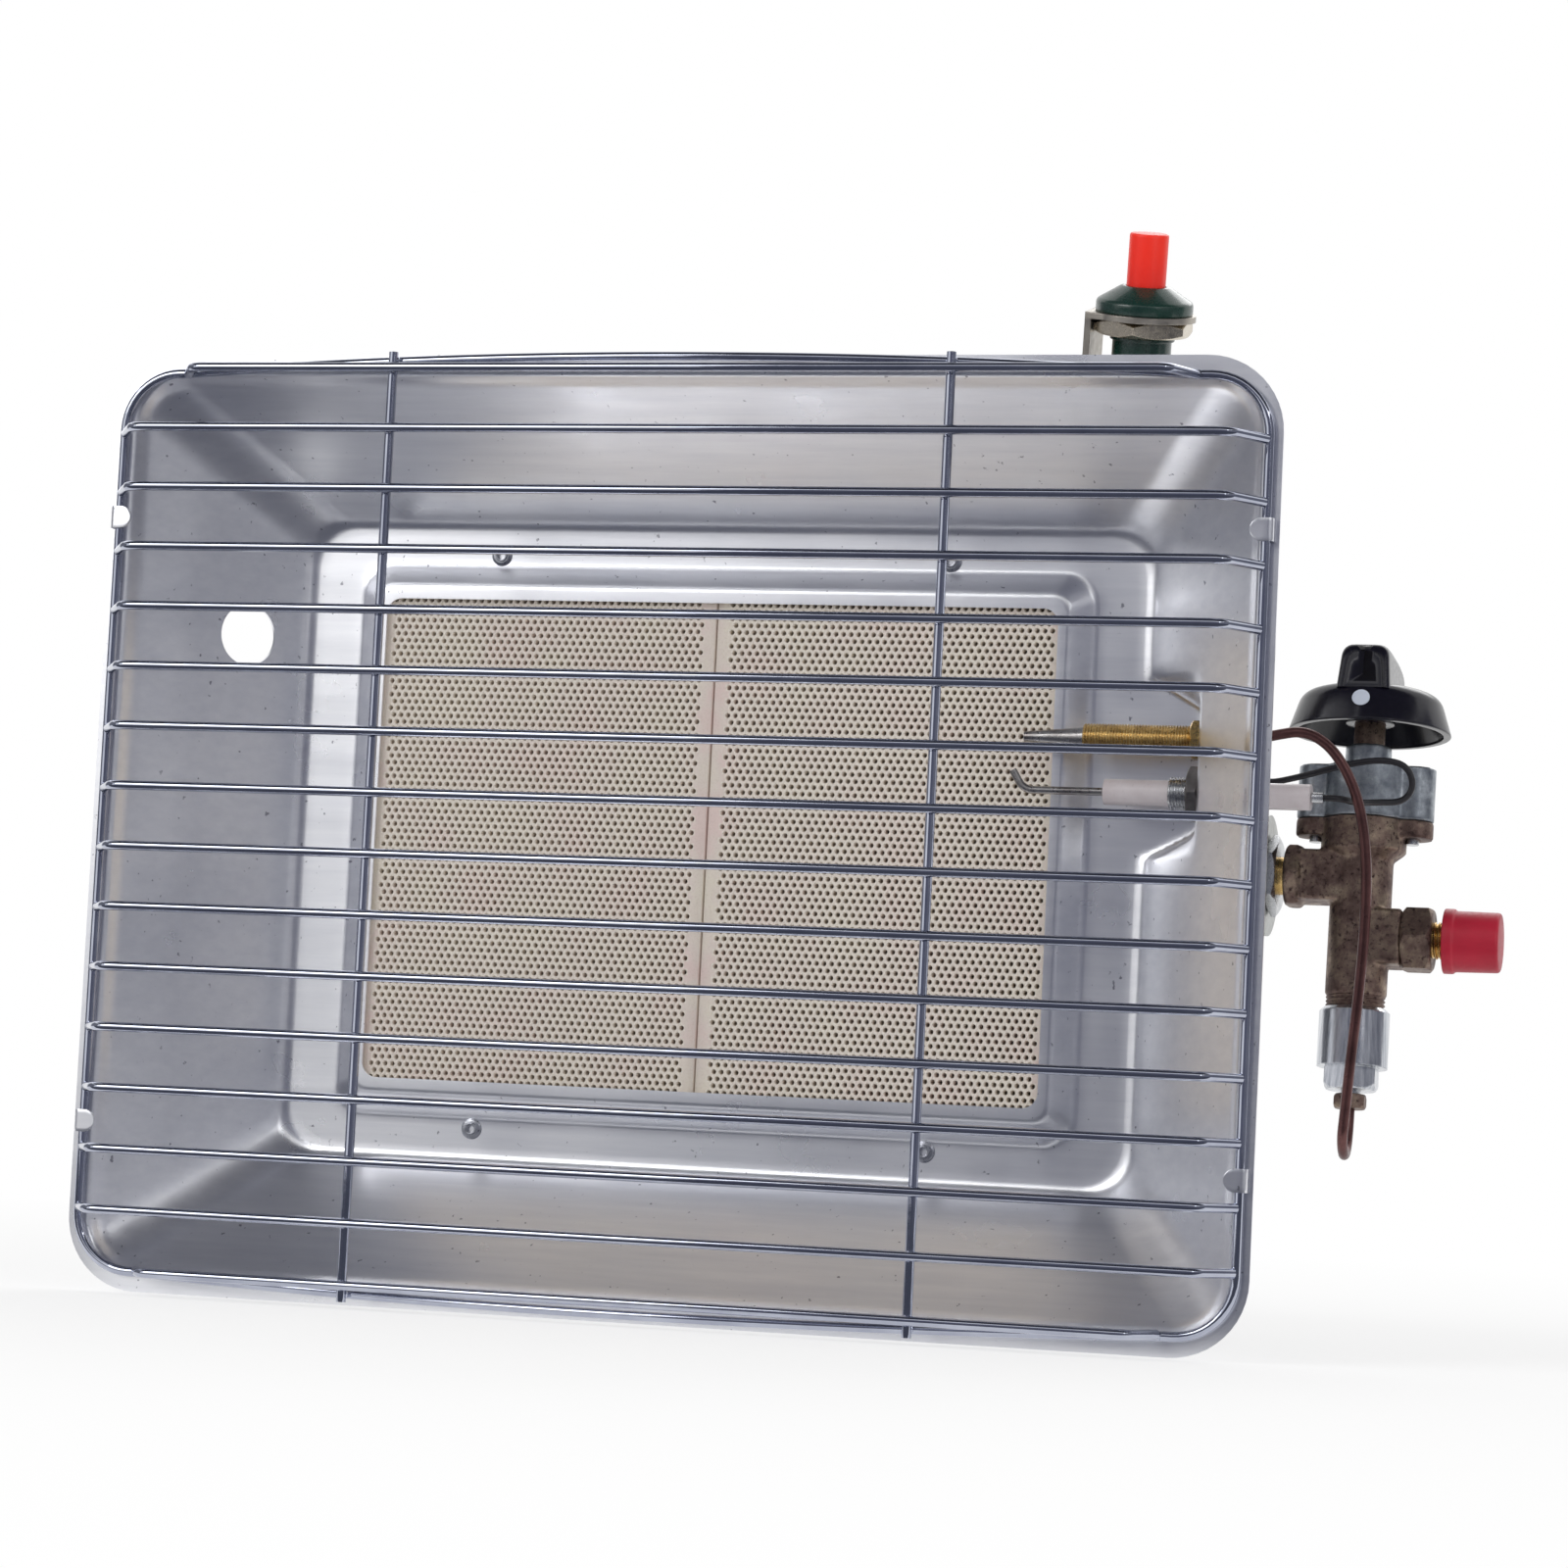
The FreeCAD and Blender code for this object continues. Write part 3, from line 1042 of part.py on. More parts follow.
def foot_screw_places():
    foot_x, foot_y = foot_corner()
    x = foot_x - IGN_SCREW_INSET
    first = foot_y + IGN_SCREW_HEAD / 2 + FIT
    second = foot_y + IGN_LEG_DEEP - IGN_SCREW_HEAD / 2 - FIT
    return [Vector(x, y, CUP_Z + SHEET) for y in (first, second)]


def screw(place, axis, grip, head, shank):
    """A pan-head sheet-metal screw whose head seats at the given place."""
    axis = Vector(axis).normalize()
    body = rod(place - axis * grip, axis, grip, shank)
    return one(body.fuse(cone(place, axis, shank * SCREW_HEAD_RISE_SHARE, head, head * SCREW_CROWN_SHARE)))


def igniter_bracket_screws():
    grip = IGN_PLATE + 4
    return [screw(place + AXIS_Z * IGN_PLATE, AXIS_Z, grip, IGN_SCREW_HEAD, IGN_SCREW)
            for place in foot_screw_places()]


def igniter_ceiling():
    return IGN_FLANGE_RIM + IGN_CONE - 2.0


def igniter_body():
    """Moulded igniter case: flange, cone and long barrel, bored for the button."""
    body = rod(Vector(0, 0, 0), AXIS_Z, IGN_FLANGE_RIM, IGN_FLANGE)
    body = body.fuse(cone(Vector(0, 0, IGN_FLANGE_RIM), AXIS_Z, IGN_CONE, IGN_FLANGE - 1, IGN_CONE_TOP))
    body = body.fuse(rod(Vector(0, 0, -IGN_BARREL_LONG), AXIS_Z, IGN_BARREL_LONG + 1, IGN_BARREL))
    top = IGN_FLANGE_RIM + IGN_CONE
    deep = IGN_BARREL_LONG - IGN_FLOOR
    body = body.cut(rod(Vector(0, 0, -deep), AXIS_Z, deep + igniter_ceiling(), IGN_BORE))
    body = body.cut(rod(Vector(0, 0, 0), AXIS_Z, top + 1, BUTTON + 2 * CLOSE_FIT))
    body = body.cut(rod(Vector(0, 0, -IGN_BARREL_LONG - 1), AXIS_Z, DRILL_REACH, TERMINAL + CLOSE_FIT))
    lip = ring(Vector(0, 0, -IGN_PLATE - IGN_NUT_THICK - FIT - IGN_LIP_THICK), AXIS_Z, IGN_LIP_THICK,
               IGN_LIP, IGN_BARREL - 1)
    return one(body.fuse(lip))


def igniter_nut():
    return nut(Vector(0, 0, -IGN_PLATE - IGN_NUT_THICK), AXIS_Z, IGN_NUT_THICK, IGN_NUT,
               IGN_BARREL + CLOSE_FIT, HEX_TURN, NUT_BEVEL)


def igniter_button():
    """Red push button with its collar inside the case."""
    top = IGN_FLANGE_RIM + IGN_CONE + BUTTON_PROUD
    body = rod(Vector(0, 0, top - BUTTON_LONG), AXIS_Z, BUTTON_LONG, BUTTON)
    edge = [e for e in body.Edges if abs(e.CenterOfMass.z - top) < 0.01 and e.Closed]
    body = body.makeFillet(BUTTON_ROUND, edge)
    collar = rod(Vector(0, 0, igniter_ceiling() - BUTTON_COLLAR_THICK - CLOSE_FIT), AXIS_Z,
                 BUTTON_COLLAR_THICK, IGN_BORE - 2 * CLOSE_FIT)
    return one(body.fuse(collar))


def igniter_spring():
    """Return spring under the button, drawn as a plain tube at its pressed height."""
    button_low = IGN_FLANGE_RIM + IGN_CONE + BUTTON_PROUD - BUTTON_LONG
    high = button_low - BUTTON_TRAVEL - FIT
    low = piezo_top()
    return ring(Vector(0, 0, low), AXIS_Z, high - low, BUTTON, BUTTON - 2 * SPRING_WALL)


def piezo_top():
    return -IGN_BARREL_LONG + IGN_FLOOR + PIEZO_LONG


def piezo_element():
    """Piezo crystal in the foot of the case."""
    return rod(Vector(0, 0, -IGN_BARREL_LONG + IGN_FLOOR), AXIS_Z, PIEZO_LONG, PIEZO)


def igniter_terminal():
    """Pin at the foot of the case that takes the spark lead."""
    start = -IGN_BARREL_LONG - TERMINAL_LONG + IGN_FLOOR
    return rod(Vector(0, 0, start), AXIS_Z, TERMINAL_LONG, TERMINAL)


def electrode_insulator():
    """Ceramic tube round the spark wire, through the pocket wall."""
    start = Vector(CERAMIC_FRONT_X, PROBE_Y, ELECTRODE_Z)
    body = rod(start, AXIS_X, CERAMIC_REAR_X - CERAMIC_FRONT_X, CERAMIC)
    return one(body.cut(rod(start, AXIS_X, CERAMIC_REAR_X - CERAMIC_FRONT_X, SPARK_WIRE + CLOSE_FIT)))


def electrode_wire():
    """Spark wire, bent up at its tip towards the probe."""
    tip = Vector(SPARK_TIP_X, PROBE_Y, ELECTRODE_Z + SPARK_TIP_RISE)
    bend = Vector(SPARK_BEND_X, PROBE_Y, ELECTRODE_Z)
    end = Vector(CERAMIC_REAR_X, PROBE_Y, ELECTRODE_Z)
    return tube([tip, bend, end], SPARK_WIRE, "spark wire")


def electrode_bushing():
    """Steel sleeve crimped on the ceramic and threaded through the pocket wall."""
    start = Vector(POCKET_X - BUSHING_LONG, PROBE_Y, ELECTRODE_Z)
    length = BUSHING_LONG + SHEET + PROBE_NUT_THICK + 1
    return ring(start, AXIS_X, length, BUSHING, CERAMIC + CLOSE_FIT)


def electrode_nut():
    start = Vector(POCKET_X - PROBE_NUT_THICK, PROBE_Y, ELECTRODE_Z)
    return nut(start, AXIS_X, PROBE_NUT_THICK, PROBE_NUT, BUSHING + CLOSE_FIT, HEX_TURN, SMALL_NUT_BEVEL)


def electrode_back_nut():
    start = Vector(POCKET_X + SHEET, PROBE_Y, ELECTRODE_Z)
    return nut(start, AXIS_X, PROBE_NUT_THICK, BACK_NUT, BUSHING + CLOSE_FIT, HEX_TURN, SMALL_NUT_BEVEL)


def thermocouple_probe():
    """Steel probe with a tapered tip in the flame."""
    start = Vector(THERMO_TIP_X, PROBE_Y, THERMO_Z)
    length = THERMO_BASE_X - THERMO_TIP_X
    body = cone(start, AXIS_X, length, THERMO_TIP, THERMO_BASE)
    return one(body.fuse(rod(start + AXIS_X * length, AXIS_X, THERMO_ROOT, THERMO_SHANK)))


def thermocouple_sleeve():
    """Brass threaded sleeve that holds the probe in the pocket wall."""
    start = Vector(THERMO_BASE_X, PROBE_Y, THERMO_Z)
    length = SLEEVE_END_X - THERMO_BASE_X
    body = rod(start, AXIS_X, length, THERMO_SLEEVE)
    body = body.cut(rod(start, AXIS_X, THERMO_ROOT + CLOSE_FIT, THERMO_SHANK + CLOSE_FIT))
    return one(body.cut(rod(start, AXIS_X, length, CAPILLARY - SLEEVE_BORE_LESS)))


def thermocouple_nut():
    start = Vector(POCKET_X - THERMO_HEX_THICK, PROBE_Y, THERMO_Z)
    hole = THERMO_SLEEVE + CLOSE_FIT
    return nut(start, AXIS_X, THERMO_HEX_THICK, THERMO_HEX, hole, HEX_TURN, SMALL_NUT_BEVEL)


def route_point(length, share):
    """A point of a tube's route, given as shares of a length away from the valve on the gas line."""
    return (VALVE_X + share[0] * length, GAS_AXIS_Y + share[1] * length, GAS_AXIS_Z + share[2] * length)


def thermocouple_capillary():
    """Copper capillary from the probe, round in front of the valve and up into its union nut."""
    nut_entry = valve_point(0, 0, union_nut_low() + UNION_NUT_LONG * 0.4)
    turn_up = valve_point(0, 0, union_nut_low() - CAPILLARY_BEND)
    front_y = GAS_AXIS_Y - CAPILLARY_FRONT
    half_gap = (turn_up.y - front_y) / 2
    bottom = turn_up.z - half_gap * math.tan(math.radians(30))
    over_shares = [(-0.181, -0.336, 0.3255), (-0.109, -0.332, 0.3395), (-0.047, -0.328, 0.3075)]
    down_shares = [(0.001, -0.322, 0.2415), (0.035, -0.314, 0.1555), (0.052, -0.30, 0.0415),
                   (0.053, -0.28, -0.0885), (0.045, -0.26, -0.2285), (0.033, -0.244, -0.3585),
                   (0.021, -0.234, -0.4835), (0.013, -0.23, -0.5935)]
    route = [(SLEEVE_END_X, PROBE_Y, THERMO_Z), (SLEEVE_END_X + THERMO_STRAIGHT, PROBE_Y, THERMO_Z)]
    route = route + [route_point(CAPILLARY_DROP, share) for share in over_shares + down_shares]
    route = route + [(turn_up.x + 0.008 * CAPILLARY_DROP, front_y, turn_up.z),
                     (turn_up.x + 0.004 * CAPILLARY_DROP, front_y + half_gap, bottom),
                     tuple(turn_up), tuple(nut_entry)]
    return tube(route, CAPILLARY, "capillary")


def electrode_lead():
    """Spark lead from the rear of the ceramic, looping in front of the bonnet, to the igniter."""
    start = Vector(CERAMIC_REAR_X + FERRULE_LONG, PROBE_Y, ELECTRODE_Z)
    axis = igniter_axis()
    pin = Vector(IGNITER_X, IGNITER_Y, IGNITER_Z) + axis * (IGN_FLOOR - IGN_BARREL_LONG - TERMINAL_LONG)
    run = pin - axis * LEAD_RUN_IN
    loop_shares = [(-0.001, -0.31, 0.1735), (0.017, -0.264, 0.1695), (0.053, -0.208, 0.1655),
                   (0.121, -0.172, 0.1635), (0.153, -0.164, 0.2155), (0.121, -0.168, 0.2695),
                   (0.045, -0.184, 0.2755), (-0.047, -0.192, 0.2635), (-0.135, -0.186, 0.2375)]
    rise_shares = [(-0.231, -0.168, 0.2175), (-0.295, -0.142, 0.2595), (-0.349, -0.116, 0.3515),
                   (-0.403, -0.094, 0.4675), (-0.463, -0.076, 0.5855), (-0.525, -0.06, 0.6975),
                   (-0.581, -0.046, 0.8115)]
    route = [tuple(start), (start.x + LEAD_RUN_OUT, PROBE_Y, ELECTRODE_Z)]
    route = route + [route_point(LEAD_SPAN, share) for share in loop_shares + rise_shares]
    route = route + [tuple(run), tuple(pin)]
    return tube(route, LEAD, "lead")


def lead_ferrule():
    """Crimped end of the lead on the spark wire."""
    start = Vector(CERAMIC_REAR_X + CLOSE_FIT, PROBE_Y, ELECTRODE_Z)
    return rod(start, AXIS_X, FERRULE_LONG - CLOSE_FIT, FERRULE)


def bow_y(x):
    """Depth of the top and bottom bows, which touch the uprights from behind."""
    end = SIDE_WIRE_X - GUARD_CORNER
    touch = UPRIGHT_Y + WIRE + WIRE_GAP
    bulge = (RING_Y - touch) / (1 - (UPRIGHT_X / end) ** 2)
    return RING_Y - bulge * (1 - (x / end) ** 2)


def guard_side(side):
    """C-shaped side wire lying on the rim, with its two rounded corners."""
    x = SIDE_WIRE_X
    end = x - GUARD_CORNER
    k = GUARD_CORNER * (1 - math.sqrt(0.5))
    z = END_WIRE_Z
    low = END_WIRE_Z - GUARD_CORNER
    tip = end - WIRE
    edges = [Part.LineSegment(Vector(tip, RING_Y, z), Vector(end, RING_Y, z)).toShape(),
             Part.Arc(Vector(end, RING_Y, z), Vector(x - k, RING_Y, z - k), Vector(x, RING_Y, low)).toShape(),
             Part.LineSegment(Vector(x, RING_Y, low), Vector(x, RING_Y, -low)).toShape(),
             Part.Arc(Vector(x, RING_Y, -low), Vector(x - k, RING_Y, k - z), Vector(end, RING_Y, -z)).toShape(),
             Part.LineSegment(Vector(end, RING_Y, -z), Vector(tip, RING_Y, -z)).toShape()]
    circle = Part.Circle(Vector(tip, RING_Y, z), AXIS_X, WIRE_R).toShape()
    wire = Part.Wire(edges).makePipeShell([Part.Wire([circle])], True, False)
    solid = wire.Solids[0]
    if side < 0:
        solid = solid.mirror(Vector(0, 0, 0), AXIS_X)
    return solid


def guard_bow(side):
    """Bowed wire along the top or bottom, from one side wire to the other."""
    half = SIDE_WIRE_X - GUARD_CORNER - WIRE - WELD_GAP
    end = Vector(half, bow_y(half), side * END_WIRE_Z)
    middle = Vector(0, bow_y(0), side * (END_WIRE_Z + BOW_BULGE))
    start = Vector(-half, end.y, end.z)
    arc = Part.Arc(start, middle, end)
    direction = Vector(*arc.tangent(arc.FirstParameter)[0])
    circle = Part.Circle(start, direction, WIRE_R).toShape()
    shell = Part.Wire([arc.toShape()]).makePipeShell([Part.Wire([circle])], True, False)
    return shell.Solids[0]


def guard_upright(side):
    """Straight upright wire behind the bars."""
    reach = END_WIRE_Z + BOW_BULGE + WIRE_R
    return rod(Vector(side * UPRIGHT_X, UPRIGHT_Y, -reach), AXIS_Z, 2 * reach, WIRE)


def bent_bar(z, front_half, leg_end):
    """One bar: straight across the front with a bend and a leg back at each end."""
    bend_x = front_half
    end = Vector(leg_end.x, leg_end.y, leg_end.z)
    route = [Vector(-end.x, end.y, end.z), Vector(-bend_x, BAR_Y, z), Vector(bend_x, BAR_Y, z), end]
    leg = (route[3] - route[2]).Length
    turn = (route[3] - route[2]).getAngle(route[2] - route[1])
    reach = min(BAR_BEND * math.tan(turn / 2), leg * ROUTE_ARC_SHARE)
    edges = []
    last = route[0]
    for before, here, after in zip(route, route[1:], route[2:]):
        first = (here - before).normalize()
        second = (after - here).normalize()
        start = here - first * reach
        stop = here + second * reach
        radius = reach / math.tan(turn / 2)
        inward = (second - first).normalize()
        centre = here + inward * (radius / math.cos(turn / 2))
        middle = centre - inward * radius
        edges.append(Part.LineSegment(last, start).toShape())
        edges.append(Part.Arc(start, middle, stop).toShape())
        last = stop
    edges.append(Part.LineSegment(last, route[-1]).toShape())
    circle = Part.Circle(route[0], route[1] - route[0], WIRE_R).toShape()
    shell = Part.Wire(edges).makePipeShell([Part.Wire([circle])], True, False)
    return shell.Solids[0]


def guard_bars():
    """Sixteen bars across the bowl; the first and last are shorter and end on the bows."""
    solids = []
    for i in range(BAR_COUNT):
        z = BAR_PITCH * ((BAR_COUNT - 1) / 2 - i)
        if i in (0, BAR_COUNT - 1):
            end_x = END_BAR_HALF + END_BAR_LEG
            leg_end = Vector(end_x, bow_y(end_x) - WIRE_R - 1.0, z)
            solids.append(bent_bar(z, END_BAR_HALF, leg_end))
            continue
        bend = SIDE_WIRE_X - BAR_LEG_RUN
        leg = Vector(BAR_LEG_RUN, RING_Y - BAR_Y, 0).normalize()
        leg_end = Vector(SIDE_WIRE_X, RING_Y, z) - leg * (WIRE_R + WIRE_GAP)
        solids.append(bent_bar(z, bend, leg_end))
    return solids


def hat_screw_places():
    x = HAT_WEB / 2 + HAT_FOOT / 2
    return [(sx * x, sz * HAT_SCREW_Z) for sx in (-1, 1) for sz in (-1, 1)]


def rear_bracket():
    """Hat-section steel bracket with two bolt holes one above the other."""
    half = HAT_WEB / 2
    t = HAT_THICK
    back = MOUNT_FACE_Y
    profile = [(-half - HAT_FOOT, BOX_BACK_Y), (-half + t, BOX_BACK_Y), (-half + t, back - t),
               (half - t, back - t), (half - t, BOX_BACK_Y), (half + HAT_FOOT, BOX_BACK_Y),
               (half + HAT_FOOT, BOX_BACK_Y + t), (half, BOX_BACK_Y + t), (half, back), (-half, back),
               (-half, BOX_BACK_Y + t), (-half - HAT_FOOT, BOX_BACK_Y + t)]
    low = -HAT_HIGH / 2
    points = [Vector(x, y, low) for x, y in profile + profile[:1]]
    body = Part.Face(Part.makePolygon(points)).extrude(AXIS_Z * HAT_HIGH)
    for side in (-1, 1):
        place = Vector(0, back - 2 * t, side * BOLT_SPACING / 2)
        body = body.cut(rod(place, AXIS_Y, 4 * t, BOLT_HOLE))
    for x, z in hat_screw_places():
        body = body.cut(rod(Vector(x, BOX_BACK_Y - 1, z), AXIS_Y, 2 * t + 2, IGN_SCREW + CLOSE_FIT))
    return one(body)


def bracket_screws():
    grip = HAT_THICK + 4
    return [screw(Vector(x, BOX_BACK_Y + HAT_THICK, z), AXIS_Y, grip, IGN_SCREW_HEAD, IGN_SCREW)
            for x, z in hat_screw_places()]


def build():
    os.makedirs("parts", exist_ok=True)
    save("reflector_pan", [reflector_pan()])
    save("reflector_rivets", reflector_rivets())
    save("burner_box", [burner_box()])
    save("tile_gasket", [tile_gasket()])
    save("ceramic_tile_left", [ceramic_tile(-1)])
    save("ceramic_tile_right", [ceramic_tile(1)])
    save("distributor_baffle", [distributor_baffle()])
    save("mixing_tube", [mixing_tube()])
    save("air_disc", [air_disc()])
    save("injector", [injector()])
    save("injector_nut", [injector_nut()])
    save("valve_body", [lean_valve(valve_body())])
    save("valve_bonnet", [lean_valve(valve_bonnet())])
    save("bonnet_screws", [lean_valve(s) for s in bonnet_screws()])
    save("valve_plug", [lean_valve(valve_plug())])
    save("valve_spindle", [lean_valve(valve_spindle())])
    save("push_rod", [lean_valve(push_rod())])
    save("safety_disc", [lean_valve(safety_disc())])
    save("spindle_spring", [lean_valve(spindle_spring())])
    save("magnet_unit", [lean_valve(magnet_unit())])
    save("magnet_housing", [lean_valve(magnet_housing())])
    save("thermocouple_union_nut", [lean_valve(thermocouple_union_nut())])
    save("inlet_fitting", [lean_valve(inlet_fitting())])
    save("inlet_cap", [lean_valve(inlet_cap())])
    save("knob", [lean_valve(knob())])
    save("knob_marker", [lean_valve(knob_marker())])
    save("igniter_bracket", [igniter_bracket()])
    save("igniter_bracket_screws", igniter_bracket_screws())
    save("igniter_body", [lean_igniter(igniter_body())])
    save("igniter_nut", [lean_igniter(igniter_nut())])
    save("igniter_button", [lean_igniter(igniter_button())])
    save("igniter_spring", [lean_igniter(igniter_spring())])
    save("piezo_element", [lean_igniter(piezo_element())])
    save("igniter_terminal", [lean_igniter(igniter_terminal())])
    save("electrode_insulator", [electrode_insulator()])
    save("electrode_wire", [electrode_wire()])
    save("electrode_bushing", [electrode_bushing()])
    save("electrode_nut", [electrode_nut()])
    save("electrode_back_nut", [electrode_back_nut()])
    save("electrode_lead", [electrode_lead()])
    save("lead_ferrule", [lead_ferrule()])
    save("thermocouple_probe", [thermocouple_probe()])
    save("thermocouple_sleeve", [thermocouple_sleeve()])
    save("thermocouple_nut", [thermocouple_nut()])
    save("thermocouple_capillary", [thermocouple_capillary()])
    save("guard_side_left", [guard_side(-1)])
    save("guard_side_right", [guard_side(1)])
    save("guard_bow_top", [guard_bow(1)])
    save("guard_bow_bottom", [guard_bow(-1)])
    save("guard_upright_left", [guard_upright(-1)])
    save("guard_upright_right", [guard_upright(1)])
    save("guard_bars", guard_bars())
    save("rear_bracket", [rear_bracket()])
    save("bracket_screws", bracket_screws())


build()
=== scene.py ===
import json
import math

import bpy
from mathutils import Matrix, Vector

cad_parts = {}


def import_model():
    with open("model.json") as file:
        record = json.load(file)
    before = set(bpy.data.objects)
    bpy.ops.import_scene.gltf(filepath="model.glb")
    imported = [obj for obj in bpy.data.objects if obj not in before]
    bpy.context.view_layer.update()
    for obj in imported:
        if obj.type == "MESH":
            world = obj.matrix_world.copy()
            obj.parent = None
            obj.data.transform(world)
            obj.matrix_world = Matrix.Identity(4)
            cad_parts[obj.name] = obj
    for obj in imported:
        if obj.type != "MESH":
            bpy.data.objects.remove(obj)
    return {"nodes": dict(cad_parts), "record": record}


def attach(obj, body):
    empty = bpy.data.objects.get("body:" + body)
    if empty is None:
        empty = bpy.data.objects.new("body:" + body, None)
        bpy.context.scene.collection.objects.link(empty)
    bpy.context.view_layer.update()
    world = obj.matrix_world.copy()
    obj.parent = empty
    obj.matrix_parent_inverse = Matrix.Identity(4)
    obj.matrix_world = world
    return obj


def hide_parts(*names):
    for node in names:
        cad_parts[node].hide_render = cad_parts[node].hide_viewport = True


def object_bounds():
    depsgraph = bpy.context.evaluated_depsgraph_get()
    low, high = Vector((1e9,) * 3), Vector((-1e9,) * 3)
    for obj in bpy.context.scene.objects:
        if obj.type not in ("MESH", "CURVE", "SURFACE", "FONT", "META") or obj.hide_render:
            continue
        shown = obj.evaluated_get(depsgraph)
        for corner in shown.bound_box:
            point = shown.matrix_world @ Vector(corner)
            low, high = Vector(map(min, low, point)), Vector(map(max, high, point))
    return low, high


# Looks of a portable propane heater. Lengths are millimetres in working axes: X to the right,
# Y backwards, Z up, zero at the centre of the bowl's rim. The frame's zero lies behind it,
# at the middle of the two mounting bolts.

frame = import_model()
nodes = frame["nodes"]
cad_low, cad_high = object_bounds()

MOUNT_FACE_Y = 89.9
MM = 0.001

# Bowl
SHEET = 0.8
RIM_X = 151.75
RIM_Z = 120.0
MOUTH_X = 146.75
MOUTH_Z = 115.0
SLOPE_X = 144.95
SLOPE_Z = 113.2
SHOULDER_DEPTH = 4.2
BOWL_DEPTH = 44.8
PLATE_X = 113.5
PLATE_Z = 83.0
EMBOSS_X = 98.4
EMBOSS_Z = 72.0
PLATEAU_X = 92.8
PLATEAU_Z = 66.4
PLATEAU_Y = 40.0
OPENING_X = 90.0
OPENING_Z = 62.75
POCKET_X = 129.8
POCKET_LOW = 7.0
POCKET_HIGH = 39.5
WALL_HOLE_R = 8.0
WALL_HOLE_Y = 30.3
WALL_HOLE_Z = 51.2
HOLE_PATCH_HALF = 9.6
HOLE_BAND = 11.5
HOLE_ABOVE = 4
HOLE_STEPS = 12
LEFT_RUN_FROM = 106
CLOSE_TO_Z = 47.0
POCKET_START_Y = 23.76
POCKET_CORNER = 2.6
TONGUE_Z = 77.4
RIVET_X = 60.5
RIVET_Z = 74.9

# Tiles
TILE_WIDE = 91.85
TILE_HIGH = 131.0
TILE_THICK = 13.0
TILE_FRONT_Y = 41.8
TILE_SEAM = 0.5
HOLE_R = 0.66
HOLE_PITCH_X = 1.98
HOLE_PITCH_Z = 1.79

# Valve, igniter and probes
VALVE_AT = Vector((165.1, 66.0, -1.15))
VALVE_LEAN = math.radians(6.0)
IGNITER_AT = Vector((107.5, 45.0, 138.9))
IGNITER_AXIS = Vector((math.tan(math.radians(5.0)), -math.tan(math.radians(16.0)), 1.0)).normalized()
PROBE_Y = 32.0
ELECTRODE_Z = 16.3
THERMO_Z = 29.6
KNOB_RIM = 37.0
INLET_X = 11.1
INLET_Z = -15.1
TERMINAL_HEIGHT = -37.0

# Guard
WIRE_R = 1.2
BAR_Y = -13.9
UPRIGHT_Y = -11.45
UPRIGHT_X = 72.0
SIDE_WIRE_X = 148.65
END_WIRE_Z = 114.9
RING_Y = -1.25
BAR_COUNT = 16
BAR_PITCH = 15.26
BOW_END_X = 134.05
BOW_HALF = 131.25
BAR_BEND_X = 141.0
END_BAR_BEND_X = 125.5
END_BAR_X = 130.7
RING_CORNER_R = 14.6
UPRIGHT_HALF = 118.6


def row(point):
    """A working point as the frame has it, in metres."""
    return Vector((point[0] * MM, (point[1] - MOUNT_FACE_Y) * MM, point[2] * MM))


def axes(origin, across, back, up):
    """Matrix from a piece's own drawing to working axes."""
    matrix = Matrix.Identity(4)
    for i, column in enumerate((across, back, up)):
        for j in range(3):
            matrix[j][i] = column[j]
    matrix.translation = origin
    return matrix


def valve_axes():
    c, s = math.cos(VALVE_LEAN), math.sin(VALVE_LEAN)
    return axes(VALVE_AT, (1, 0, 0), (0, c, -s), (0, s, c))


def igniter_axes():
    across = (Vector((1, 0, 0)) - IGNITER_AXIS * IGNITER_AXIS.x).normalized()
    return axes(IGNITER_AT, across, IGNITER_AXIS.cross(across), IGNITER_AXIS)


def along_x(x, y, z):
    """Axes of a piece drawn upright that lies along X with its foot at the point."""
    return axes((x, y, z), (0, 1, 0), (0, 0, 1), (1, 0, 0))


VALVE = valve_axes()
IGNITER = igniter_axes()
PLAIN = Matrix.Identity(4)


# Materials

def linear(value):
    value = value / 255
    return value / 12.92 if value <= 0.04045 else ((value + 0.055) / 1.055) ** 2.4


def colour(red, green, blue):
    return (linear(red), linear(green), linear(blue), 1.0)


def blank_material(name):
    material = bpy.data.materials.new(name)
    material.use_nodes = True
    tree = material.node_tree
    shader = tree.nodes["Principled BSDF"]
    place = add_node(tree, "TexCoord")
    return material, tree, shader, place.outputs["Object"]


def add_node(tree, kind, **values):
    """A shader node with the values of its inputs, whose names have underscores for spaces."""
    node = tree.nodes.new("ShaderNode" + kind)
    for name, value in values.items():
        node.inputs[name.replace("_", " ")].default_value = value
    return node


def noise(tree, place, scale, detail=3.0, rough=0.5, stretch=None):
    if stretch:
        mapping = add_node(tree, "Mapping", Scale=stretch)
        tree.links.new(place, mapping.inputs["Vector"])
        place = mapping.outputs["Vector"]
    node = add_node(tree, "TexNoise", Scale=scale, Detail=detail, Roughness=rough)
    tree.links.new(place, node.inputs["Vector"])
    return node.outputs["Fac"]


def ramp(tree, value, stops):
    node = add_node(tree, "ValToRGB")
    table = node.color_ramp.elements
    while len(table) < len(stops):
        table.new(0.5)
    for element, (where, shade) in zip(table, stops):
        element.position = where
        element.color = shade
    tree.links.new(value, node.inputs["Fac"])
    return node.outputs["Color"]


def spread(tree, value, low, high, start=0.3, stop=0.7):
    node = add_node(tree, "MapRange", From_Min=start, From_Max=stop, To_Min=low, To_Max=high)
    tree.links.new(value, node.inputs["Value"])
    return node.outputs["Result"]


